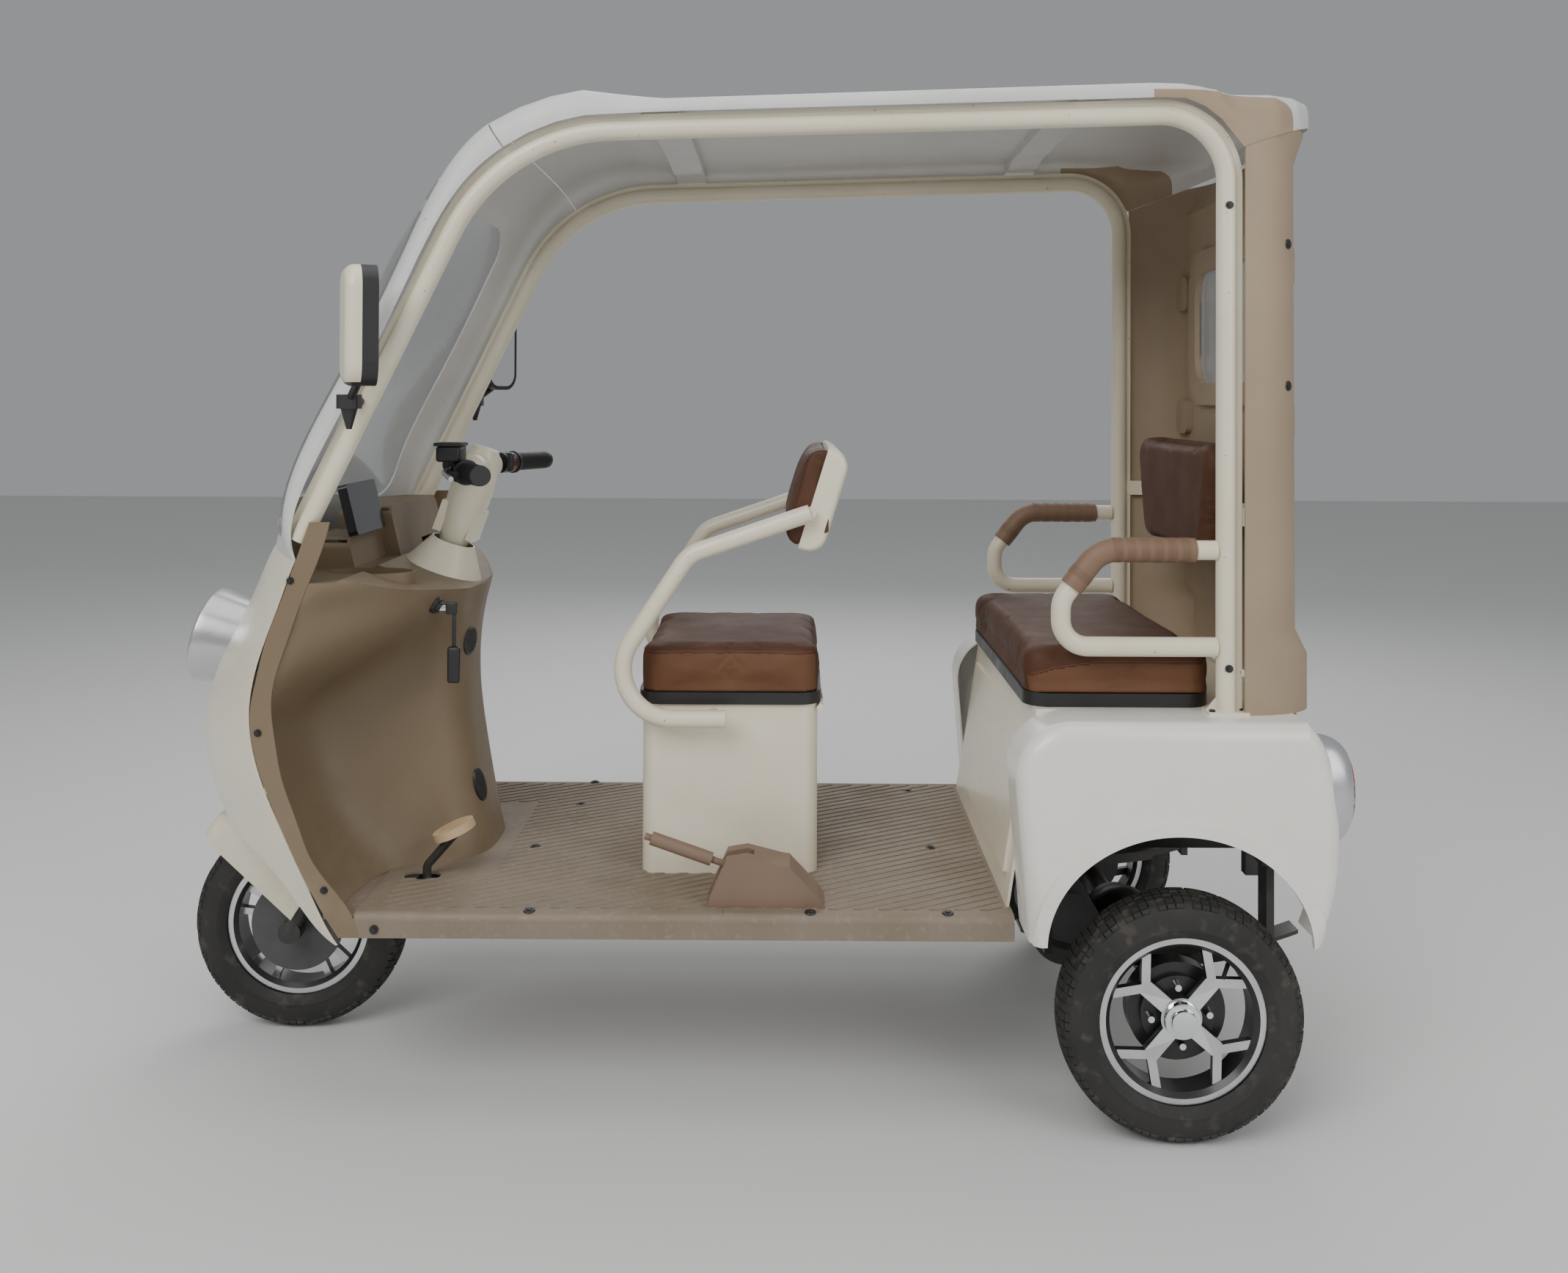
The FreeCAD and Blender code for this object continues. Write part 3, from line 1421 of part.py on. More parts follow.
def fender_outline(inset):
    foot_x = ahead(fender_front_foot) - inset
    top = deck_top - inset
    reach = fender_tail_reach - inset
    height = deck_top - fender_foot_height
    tail = [vector(ahead(-share * reach), fender_inner_side, fender_foot_height + up * height - inset)
            for share, up in zip(fender_tail_reach_shares, fender_tail_height_shares)]
    front = [vector(foot_x, fender_inner_side, tail[-1].z),
             vector(ahead(fender_front_top) - inset, fender_inner_side, top),
             vector(tail[0].x, fender_inner_side, top)]
    path = bent_path(front, [fender_corner - inset])
    closing = Part.LineSegment(tail[-1], front[0]).toShape()
    return Part.Wire(path.Edges + [spline(tail), closing])


def fender_block(inset):
    width = fender_outer_side - inset - fender_inner_side
    block = Part.Face(fender_outline(inset)).extrude(vector(0, width, 0))
    outer = fender_outer_side - inset
    edges = [edge for edge in block.Edges if edge.CenterOfMass.y > outer - fit_gap
             and edge.CenterOfMass.z > fender_foot_height + fit_gap]
    return block.makeFillet(fender_top_round - inset, edges)


def arch_prism(grow, low, high):
    centre = vector(ahead(arch_centre_ahead), low, arch_spring_height)
    ellipse = Part.Ellipse(centre + vector(arch_half_length + grow, 0, 0),
                           centre + vector(0, 0, arch_rise + grow),
                           centre)
    edge = ellipse.toShape()
    return Part.Face(Part.Wire(edge)).extrude(vector(0, high - low, 0))


def rear_fender():
    outer = fender_block(0)
    inner = fender_block(fender_skin)
    inner_low = placed(inner, 0, -fender_skin, 0)
    below = placed(inner, 0, 0, -overrun)
    lip = arch_prism(arch_lip_width, fender_outer_side - arch_lip_depth, fender_outer_side + arch_lip_depth / 2)
    limit = placed(outer, 0, arch_lip_depth, 0)
    shell = outer.cut(inner.fuse([inner_low, below])).fuse(lip.common(limit))
    return shell.cut(arch_prism(0, fender_inner_side - overrun, fender_outer_side + overrun))


def tail_panel():
    low = vector(ahead(-tail_panel_behind), -fender_inner_side, tail_panel_bottom)
    high = vector(low.x + skin, fender_inner_side, deck_top)
    panel = rounded(box(low, high), tail_panel_round, lambda edge: runs_along(edge, vector(1, 0, 0))
                    and edge.CenterOfMass.z < tail_panel_bottom + fit_gap)
    middle = (tail_panel_bottom + deck_top) / 2
    frame_low = vector(low.x - tail_recess_depth, -tail_recess_half_width, middle - tail_recess_height / 2)
    frame_high = vector(low.x + fit_gap, tail_recess_half_width, middle + tail_recess_height / 2)
    frame = rounded_block(frame_low, frame_high, tail_panel_round, vector(1, 0, 0))
    border = vector(0, tail_recess_depth * 2, tail_recess_depth * 2)
    hollow = box(frame_low + border - vector(fit_gap, 0, 0), frame_high - border)
    return fused([panel, frame.cut(hollow)])


def upright_ellipse(x, side, height, half_width, half_height):
    centre = vector(x, side, height)
    ellipse = Part.Ellipse(centre + vector(0, 0, half_height), centre + vector(0, half_width, 0), centre)
    return Part.Wire(ellipse.toShape())


def tail_lamp():
    base = ahead(-lamp_base_behind)
    rings = []
    for share, width in zip(lamp_level_shares, lamp_width_shares):
        rings.append(upright_ellipse(base - share * lamp_depth, lamp_side, lamp_height,
                                     lamp_half_width * width,
                                     lamp_half_height * width))
    return Part.makeLoft(rings, True, False)


def tail_lamps():
    lamp = tail_lamp().cut(fender_block(0))
    return pair(max(lamp.Solids, key=lambda solid: solid.Volume))


def tail_lenses():
    face = ahead(-lamp_base_behind) - lamp_depth
    rings = [upright_ellipse(face - depth, lamp_side, lamp_height, lamp_half_width * lens_share * width,
                             lamp_half_height * lens_share * width)
             for depth, width in zip(share_of(lens_level_shares, lens_depth), lens_width_shares)]
    return pair(Part.makeLoft(rings, True, False))


def seat_box():
    low = vector(ahead(box_front - box_length), -box_half_width, floor_top)
    high = vector(ahead(box_front), box_half_width, box_top)
    outer = rounded_block(low, high, box_corner, vector(0, 0, 1))
    wall = vector(box_wall, box_wall, box_wall)
    inner = rounded_block(low + wall, high - wall + vector(0, 0, overrun),
                          box_corner - box_wall, vector(0, 0, 1))
    latch_low = vector(high.x - box_wall / 2, -latch_width / 2, box_top - latch_height * 2)
    latch = box(latch_low, latch_low + vector(latch_depth, latch_width, latch_height))
    parts = [outer.cut(inner), latch]
    for way in (-1, 1):
        for part in (-1, 1):
            parts.append(hinge_knuckle_rod(way * hinge_side + part * hinge_knuckle, fit_gap))
            centre = hinge_centre(way * hinge_side + part * hinge_knuckle)
            leaf_low = centre - vector(0, hinge_knuckle / 2 - fit_gap, hinge_radius)
            parts.append(box(leaf_low, vector(low.x + box_wall / 2, leaf_low.y + hinge_knuckle - fit_gap * 2,
                                              centre.z)))
    return fused(parts)


def hinge_centre(side):
    rear = ahead(box_front - box_length)
    return vector(rear - hinge_radius - hinge_gap, side, box_top - hinge_radius)


def hinge_knuckle_rod(side, gap):
    return cross_rod(hinge_centre(side), hinge_radius, hinge_knuckle / 2 - gap)


def seat_pan():
    reach = box_half_width + pan_overhang
    bottom = box_top + lid_gap
    low = vector(ahead(box_front - box_length) - pan_overhang, -reach, bottom)
    high = vector(ahead(box_front) + pan_overhang, reach, bottom + pan_thickness)
    parts = [rounded_block(low, high, seat_corner, vector(0, 0, 1))]
    for side in (-hinge_side, hinge_side):
        parts.append(hinge_knuckle_rod(side, fit_gap))
        centre = hinge_centre(side)
        leaf_low = vector(low.x, side - hinge_knuckle / 2 + fit_gap, centre.z)
        leaf_high = vector(low.x + hinge_leaf, side + hinge_knuckle / 2 - fit_gap, low.z + hinge_leaf)
        parts.append(box(leaf_low, leaf_high))
    return fused(parts)


def seat_cushion():
    grow = seat_half_width - box_half_width
    low = vector(ahead(box_front - box_length) - grow, -seat_half_width, box_top + lid_gap + pan_thickness)
    high = vector(ahead(box_front) + grow, seat_half_width, seat_top)
    return cushion_block(low, high, seat_corner, seat_round)


def seat_tube_points():
    side = seat_tube_side
    front = ahead(box_front)
    return [vector(front - seat_tube_tail_behind, side, seat_tube_low),
            vector(front + seat_tube_turn_ahead, side, seat_tube_low),
            vector(front - seat_tube_knee_behind, side, seat_tube_knee_height),
            vector(front - seat_tube_end_behind, side, seat_tube_end_height)]


def seat_tubes():
    points = seat_tube_points()
    bar = tube(points, [seat_tube_turn_bend, seat_tube_knee_bend], seat_tube_radius)
    for_end = rod(points[-1], vector(points[-1].x, driver_back_half_width, points[-1].z), seat_boss_radius)
    bolt_x = points[0].x + seat_boss_from_end
    low = vector(bolt_x, box_half_width, seat_tube_low)
    root = rod(low, vector(bolt_x, seat_tube_side, seat_tube_low), seat_boss_radius)
    return pair(fused([bar, for_end, root]))


def driver_back(part_share_low, part_share_high):
    """Slice of the driver's backrest between two shares of its thickness, counted from the front."""
    middle = vector(ahead(box_front - driver_back_behind), 0, driver_back_height)
    half = vector(driver_back_thick / 2, driver_back_half_width, driver_back_tall / 2)
    block = rounded(box(middle - half, middle + half), driver_back_round,
                    lambda edge: runs_along(edge, vector(0, 1, 0)))
    block = rounded(block, driver_back_round / 3, lambda edge: abs(abs(edge.CenterOfMass.y)
                                                                 - driver_back_half_width) < fit_gap)
    front = middle.x + half.x
    low = vector(front - part_share_high * driver_back_thick, middle.y - half.y * 2, middle.z - half.z * 2)
    high = vector(front - part_share_low * driver_back_thick, middle.y + half.y * 2, middle.z + half.z * 2)
    return about_y(block.common(box(low, high)), middle, -driver_back_lean_angle)


def driver_pad():
    return driver_back(-1, driver_pad_share)


def driver_shell():
    return driver_back(driver_pad_share, 2)


def brake_pedal():
    pad = vector(ahead(pedal_pad_ahead), pedal_side, pedal_pad_height)
    elbow = vector(ahead(pedal_foot_ahead), pedal_side, pedal_elbow_height)
    foot = vector(elbow.x, pedal_side, floor_top - pedal_pivot_drop)
    plate = rod(pad, pad + vector(0, 0, pedal_pad_thickness), pedal_pad_radius)
    plate = about_y(plate, pad, pedal_pad_tilt_angle)
    arm = tube([foot, elbow, pad], [pedal_arm_bend], pedal_arm_radius)
    pivot = cross_rod(foot, pedal_pivot_radius, pedal_side - rail_half_spacing - rail_width / 2)
    return fused([plate, arm, pivot])


def brake_cover():
    rear = ahead(brake_cover_rear)
    outline = [(rear + along * brake_cover_length, floor_top + up * brake_cover_height)
               for along, up in zip(brake_profile_length_shares, brake_profile_height_shares)]
    block = side_plate(outline, brake_side - brake_cover_half_width, brake_side + brake_cover_half_width)
    slot_low = vector(rear + brake_cover_length * brake_slot_share, brake_side - brake_lever_radius,
                      floor_top + skin)
    slot_high = vector(rear + brake_cover_length, brake_side + brake_lever_radius,
                       floor_top + brake_cover_height + overrun)
    return block.cut(box(slot_low, slot_high))


def brake_lever():
    root = vector(ahead(brake_cover_rear + brake_cover_length * brake_root_length_share), brake_side,
                  floor_top + brake_cover_height * brake_root_height_share)
    tip = vector(root.x + brake_lever_reach, brake_side, brake_lever_height + brake_lever_radius)
    grip_start = root + (tip - root) * brake_grip_share
    stem = rod(root, tip, brake_lever_radius / 2)
    grip = rod(grip_start, tip, brake_lever_radius)
    button = rod(tip, tip + (tip - root).normalize() * brake_button_length, brake_button_radius)
    foot = rod(root, vector(root.x, root.y, floor_top + skin), brake_lever_radius / 2)
    return fused([stem, grip, button, foot])


def dash():
    shelf = shelf_profile()
    top_line = [(x, z) for x, z in shelf]
    under_line = [(x, z - skin) for x, z in shelf][::-1]
    reach = cab_half_width - strip_thickness
    slab = side_plate(top_line + under_line, -reach, reach)
    room = behind_apron()
    slab = slab.common(before_wall()).common(room)
    centre = steer_point(cone_height_on_axis)
    slab = slab.cut(rod(centre - steer_line * cone_base_radius, centre + steer_line * cone_base_radius,
                        cone_top_radius))
    high_hood = dash_hood(dash_rear_face, dash_top, -dash_half_width, -dash_split_side)
    low_hood = dash_hood(dash_low_face, display_bottom - fit_gap, -dash_split_side, dash_low_side)
    whole = fused([slab, high_hood.common(room), low_hood.common(room)])
    for way in (-1, 1):
        whole = whole.cut(bin_prism(way, bin_rim, bin_depth)).cut(bin_prism(way, 0, bin_depth, overrun))
    return whole


def dash_bin():
    """Oval storage pocket hanging in the shelf."""
    return bin_prism(1, bin_rim, bin_depth).cut(bin_prism(1, 0, bin_depth - skin, overrun))


def dash_hood(face, top, right, left):
    """Hollow hood on the shelf between two sides, open towards the windscreen."""
    rear = ahead(face)
    front = ahead(apron_edge_reach) - dash_front_gap
    low = dash_shelf - fit_gap
    lean = dash_face_lean * (top - low) / (dash_top - low)
    outline = [(rear, low), (rear + lean, top), (front, top), (front, low)]
    inner = [(rear + skin, low - overrun), (rear + lean + skin, top - skin),
             (front + overrun, top - skin), (front + overrun, low - overrun)]
    outer = side_plate(outline, right, left)
    middle = (right + left) / 2
    outer = rounded(outer, dash_round, lambda edge: abs(edge.CenterOfMass.y - middle) > (left - right) / 2 - fit_gap
                    and edge.CenterOfMass.z > top - fit_gap)
    return outer.cut(side_plate(inner, right + skin, left - skin))


def bin_prism(way, grow, depth, above=0):
    centre = vector(ahead(bin_ahead), way * bin_centre_side, dash_shelf - depth)
    ellipse = Part.Ellipse(centre + vector(bin_length / 2 + grow, 0, 0),
                           centre + vector(0, bin_width / 2 + grow, 0), centre)
    return Part.Face(Part.Wire(ellipse.toShape())).extrude(vector(0, 0, depth + above))


def behind_apron():
    """The room behind the apron's upper edge."""
    top_row = list(apron_rows())[-1]
    half = apron_half_points(*top_row, strip_thickness - strip_lap)
    front = [vector(point.x - dash_front_gap, point.y, 0) for point in symmetric(half)]
    return Part.Face(closed_round(front, 0)).extrude(vector(0, 0, strip_top))


def before_wall():
    """The room ahead of the leg shield's wall."""
    far = ahead(apron_nose_reach + overrun)
    outlines = [closed_round(symmetric(well_half_points(*level)), far) for level in well_levels()]
    return placed(Part.makeLoft(outlines, True, False), fit_gap, 0, 0)


def dash_display():
    centre = vector(ahead(display_ahead), display_side, display_bottom)
    low = vector(-display_depth, -display_width / 2, 0)
    high = vector(0, display_width / 2, display_height)
    slab = rounded_block(low, high, display_depth / 2, vector(1, 0, 0))
    return about_y(placed(slab, centre.x, centre.y, centre.z), centre, display_lean_angle)


def mirror():
    head = mirror_head()
    block_centre = vector(ahead(mirror_block_ahead), mirror_block_side, mirror_block_height)
    half = vector(mirror_block / 2, mirror_block / 2, mirror_block / 3)
    block = rounded_block(block_centre - half, block_centre + half, mirror_block / 5, vector(0, 0, 1))
    root = vector(block_centre.x, surround_half_width - skin, block_centre.z)
    arm = rod(root, block_centre, mirror_arm_radius)
    top = vector(ahead(mirror_ahead), mirror_side, mirror_height - mirror_tall / 2 + mirror_stalk_radius)
    stalk = rod(block_centre, top, mirror_stalk_radius)
    cone = Part.makeCone(mirror_cone_tip, mirror_cone_root, mirror_block,
                         block_centre - vector(0, 0, mirror_block * 1.3), vector(0, 0, 1))
    return fused([head, block, arm, stalk, cone])


def mirror_head():
    half = vector(mirror_depth / 2, mirror_wide / 2, mirror_tall / 2)
    block = rounded_block(half * -1, half, mirror_corner, vector(1, 0, 0))
    front = [edge for edge in block.Edges if edge.CenterOfMass.x > half.x - fit_gap]
    shell = block.makeFillet(mirror_depth / 3, front)
    seat = mirror_glass_block()
    shell = shell.cut(seat)
    shell.rotate(vector(0, 0, 0), vector(0, 0, 1), mirror_yaw_angle)
    return placed(shell, ahead(mirror_ahead), mirror_side, mirror_height)


def mirror_glass_block():
    margin = vector(0, mirror_glass_margin, mirror_glass_margin)
    half = vector(mirror_depth / 2, mirror_wide / 2, mirror_tall / 2)
    low = half * -1 + margin
    high = vector(-half.x + mirror_glass_thickness, half.y, half.z) - margin
    return rounded_block(low, high, mirror_corner - mirror_glass_margin, vector(1, 0, 0))


def mirror_glasses():
    glass = mirror_glass_block()
    glass.rotate(vector(0, 0, 0), vector(0, 0, 1), mirror_yaw_angle)
    return pair(placed(glass, ahead(mirror_ahead), mirror_side, mirror_height))


def headlamp_line():
    face = vector(ahead(headlamp_face_ahead), 0, headlamp_height)
    direction = about_y(Part.Vertex(1, 0, 0), vector(0, 0, 0), -headlamp_tilt_angle).Point
    return face, direction


def headlamp_body():
    face, out = headlamp_line()
    back = face - out * headlamp_depth
    return Part.makeCone(headlamp_radius * headlamp_back_share, headlamp_radius, headlamp_depth, back, out)


def headlamp():
    face, out = headlamp_line()
    bucket = headlamp_body()
    rim = [edge for edge in bucket.Edges if (edge.CenterOfMass - face).Length < fit_gap]
    bucket = bucket.makeFillet(flange_thickness * 2, rim)
    return bucket.cut(rod(face - out * skin, face + out * skin, headlamp_lens_radius + fit_gap))


def headlamp_lens():
    face, out = headlamp_line()
    seat = face - out * skin
    radius = headlamp_lens_radius
    depth = headlamp_lens_bulge + skin
    ball = (radius * radius + depth * depth) / (2 * depth)
    centre = seat + out * (depth - ball)
    dome = Part.makeSphere(ball, centre)
    return dome.common(rod(seat, face + out * headlamp_depth, radius))


def rear_axle():
    centre = vector(rear_axle_x, 0, tyre_radius)
    parts = [cross_rod(centre, axle_radius, axle_half_length)]
    parts.append(Part.makeSphere(differential_radius, centre))
    parts.append(cross_rod(centre, differential_side_radius, differential_half_length))
    for way in (-1, 1):
        end = vector(centre.x, way * axle_half_length, centre.z)
        parts.append(cross_rod(end, hub_radius, hub_radius / 4))
        seat = vector(centre.x, way * spring_side, centre.z)
        half = vector(spring_width / 2, spring_width / 2, axle_radius + spring_thickness)
        low = seat - half
        high = seat + half
        parts.append(box(low, high))
    return fused(parts)


def drive_motor():
    low = vector(ahead(motor_ahead), -motor_length / 2, motor_height)
    body = rod(low, low + vector(0, motor_length, 0), motor_radius)
    return body.cut(Part.makeSphere(differential_radius + fit_gap, vector(rear_axle_x, 0, tyre_radius)))


def leaf_spring():
    seat_z = tyre_radius + axle_radius + spring_thickness
    leaves = []
    for leaf in range(spring_leaf_count):
        reach = spring_half_length * (1 - leaf * spring_leaf_step_share)
        rise = spring_camber * (reach / spring_half_length) ** 2
        lift = (spring_leaf_count - 1 - leaf) * spring_thickness
        middle = vector(rear_axle_x, 0, seat_z + lift)
        start = middle + vector(reach, 0, rise)
        finish = middle + vector(-reach, 0, rise)
        lower = Part.Arc(start, middle, finish).toShape()
        up = vector(0, 0, spring_thickness)
        upper = Part.Arc(start + up, middle + up, finish + up).toShape()
        ends = [Part.LineSegment(start, start + up).toShape(),
                Part.LineSegment(finish, finish + up).toShape()]
        outline = Part.Wire(Part.__sortEdges__([lower, upper] + ends))
        leaves.append(placed(Part.Face(outline).extrude(vector(0, spring_width, 0)), 0,
                             spring_side - spring_width / 2, 0))
    return leaves


def rear_springs():
    stack = fused(leaf_spring())
    seat_z = tyre_radius + axle_radius + spring_thickness * (spring_leaf_count + 1)
    rail_low = floor_top - skin - rail_height + kick_up
    hangers = []
    for way in (-1, 1):
        x = ahead(way * spring_half_length * spring_seat_share)
        low = vector(x - spring_thickness, spring_side - spring_width / 2, seat_z)
        high = vector(x + spring_thickness, spring_side + spring_width / 2, rail_low + fit_gap)
        hangers.append(box(low, high))
    return pair(fused([stack] + hangers))


def battery_pack():
    low = vector(ahead(battery_rear), -battery_half_width, floor_top - skin + kick_up)
    high = low + vector(battery_length, battery_half_width * 2, battery_height)
    return box(low, high)


def left_wheel(shape):
    return placed(shape, rear_axle_x, rear_track / 2, tyre_radius)


def right_wheel(shape):
    return placed(mirrored(shape), rear_axle_x, -rear_track / 2, tyre_radius)


def front_wheel(shape):
    return placed(shape, front_axle_x, 0, tyre_radius)


ring = tyre()
rim = rear_rim().cut(ring)
hoops = pair(cabin_hoop())
feet = pair(trimmed(hoop_foot(), [cabin_hoop()]))
apron = front_apron().cut(headlamp_body())
shield = leg_shield()
nodes = {
    "chassis_frame": chassis_frame(),
    "floor_front": trimmed(floor_front(), [shield]),
    "floor_rear": floor_rear(),
    "leg_shield": shield,
    "dash": dash(),
    "dash_bins": pair(dash_bin()),
    "front_apron": apron,
    "windscreen_surround": windscreen_surround(),
    "windscreen": windscreen(),
    "cabin_hoop_left": cabin_hoop(),
    "cabin_hoop_right": mirrored(cabin_hoop()),
    "roof": roof(),
    "hoop_feet": feet,
    "rear_wall": trimmed(rear_wall(), [hoops, feet]),
    "rear_window": rear_window(),
    "bench_base": bench_base(),
    "bench_pan": bench_pan(),
    "bench_cushion": bench_cushion(),
    "bench_backrest": bench_backrest(),
    "backrest_bar": trimmed(backrest_bar(), [hoops]),
    "armrests": armrests(),
    "armrest_grips": armrest_grips(),
    "rear_fender_left": rear_fender(),
    "rear_fender_right": mirrored(rear_fender()),
    "tail_panel": tail_panel(),
    "tail_lamps": tail_lamps(),
    "tail_lenses": tail_lenses(),
    "driver_seat_box": seat_box(),
    "driver_seat_pan": seat_pan(),
    "driver_seat_cushion": seat_cushion(),
    "driver_seat_tubes": seat_tubes(),
    "driver_backrest_pad": driver_pad(),
    "driver_backrest_shell": driver_shell(),
    "brake_pedal": brake_pedal(),
    "parking_brake_cover": brake_cover(),
    "parking_brake_lever": brake_lever(),
    "headlamp": headlamp(),
    "headlamp_lens": headlamp_lens(),
    "dash_display": dash_display(),
    "steering_cowl": steering_cowl(),
    "mirror_left": mirror(),
    "mirror_right": mirrored(mirror()),
    "mirror_glasses": mirror_glasses(),
    "rear_axle": rear_axle(),
    "drive_motor": drive_motor(),
    "rear_springs": rear_springs(),
    "battery_pack": battery_pack(),
    "front_fork": front_fork(),
    "front_mudguard": front_mudguard(),
    "handlebar": trimmed(handlebar(), [front_fork()]),
    "handlebar_grips": handlebar_grips(),
    "handlebar_cover": trimmed(handlebar_cover(), [handlebar()]),
    "front_rim": front_wheel(front_rim()),
    "front_tyre": front_wheel(ring),
    "rear_rim_left": left_wheel(rim),
    "rear_tyre_left": left_wheel(ring),
    "rear_rim_right": right_wheel(rim),
    "rear_tyre_right": right_wheel(ring),
}

os.makedirs("parts", exist_ok=True)
for name, shape in nodes.items():
    shape.exportStep("parts/" + name + ".step")
    print(name, len(shape.Solids), round(shape.Volume))
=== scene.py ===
import json
import math

import bmesh
import bpy
from mathutils import Matrix, Vector
from mathutils.bvhtree import BVHTree

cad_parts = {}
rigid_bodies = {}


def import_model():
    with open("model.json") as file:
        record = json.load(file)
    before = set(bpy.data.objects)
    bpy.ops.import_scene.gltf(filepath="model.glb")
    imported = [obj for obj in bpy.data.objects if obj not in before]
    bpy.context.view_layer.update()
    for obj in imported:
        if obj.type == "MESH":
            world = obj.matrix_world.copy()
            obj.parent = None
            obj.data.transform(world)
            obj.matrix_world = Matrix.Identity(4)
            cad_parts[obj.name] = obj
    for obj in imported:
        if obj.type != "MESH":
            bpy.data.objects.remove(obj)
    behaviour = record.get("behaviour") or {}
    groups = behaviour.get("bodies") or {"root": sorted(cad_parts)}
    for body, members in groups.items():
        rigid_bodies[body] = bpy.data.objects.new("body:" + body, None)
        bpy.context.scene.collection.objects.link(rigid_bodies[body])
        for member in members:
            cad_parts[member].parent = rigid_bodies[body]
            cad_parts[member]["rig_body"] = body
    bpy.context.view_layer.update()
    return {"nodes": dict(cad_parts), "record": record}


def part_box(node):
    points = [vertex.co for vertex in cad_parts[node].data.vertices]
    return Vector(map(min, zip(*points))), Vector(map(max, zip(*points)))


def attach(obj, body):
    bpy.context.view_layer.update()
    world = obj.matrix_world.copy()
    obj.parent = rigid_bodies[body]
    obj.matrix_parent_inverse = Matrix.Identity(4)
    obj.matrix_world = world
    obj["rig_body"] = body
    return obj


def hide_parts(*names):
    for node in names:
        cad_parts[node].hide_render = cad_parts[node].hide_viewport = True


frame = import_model()
cadNodes = frame["nodes"]

# camera beside the vehicle, at the distance worked out from the photo
cameraSetup = {"lens": 30.511, "sensor": 36, "place": (-0.11613, 2.69364, 1.2633),
               "shiftY": -0.15848, "turn": (90.44, -0.21, 180.32)}
cameraData = bpy.data.cameras.new("sideCamera")
cameraData.lens = cameraSetup["lens"]
cameraData.sensor_width = cameraSetup["sensor"]
cameraData.shift_y = cameraSetup["shiftY"]
camera = bpy.data.objects.new("sideCamera", cameraData)
bpy.context.scene.collection.objects.link(camera)
camera.location = cameraSetup["place"]
camera.rotation_euler = [math.radians(angle) for angle in cameraSetup["turn"]]
bpy.context.scene.camera = camera
print("camera ready")

# what a finish has where its own look doesn't say otherwise
finishBase = {"mottleScale": 6.0, "wearScale": 14.0, "dustScale": 11.0, "grainScale": 260.0,
              "metallic": 0.0, "coat": 0.0, "coatRough": 0.12, "clear": 0.0, "ior": 1.5,
              "alpha": 1.0, "bump": 0.12, "bumpDepth": 0.0006}
finishSockets = {"Metallic": "metallic", "Coat Weight": "coat", "Coat Roughness": "coatRough",
                 "Transmission Weight": "clear", "IOR": "ior", "Alpha": "alpha"}


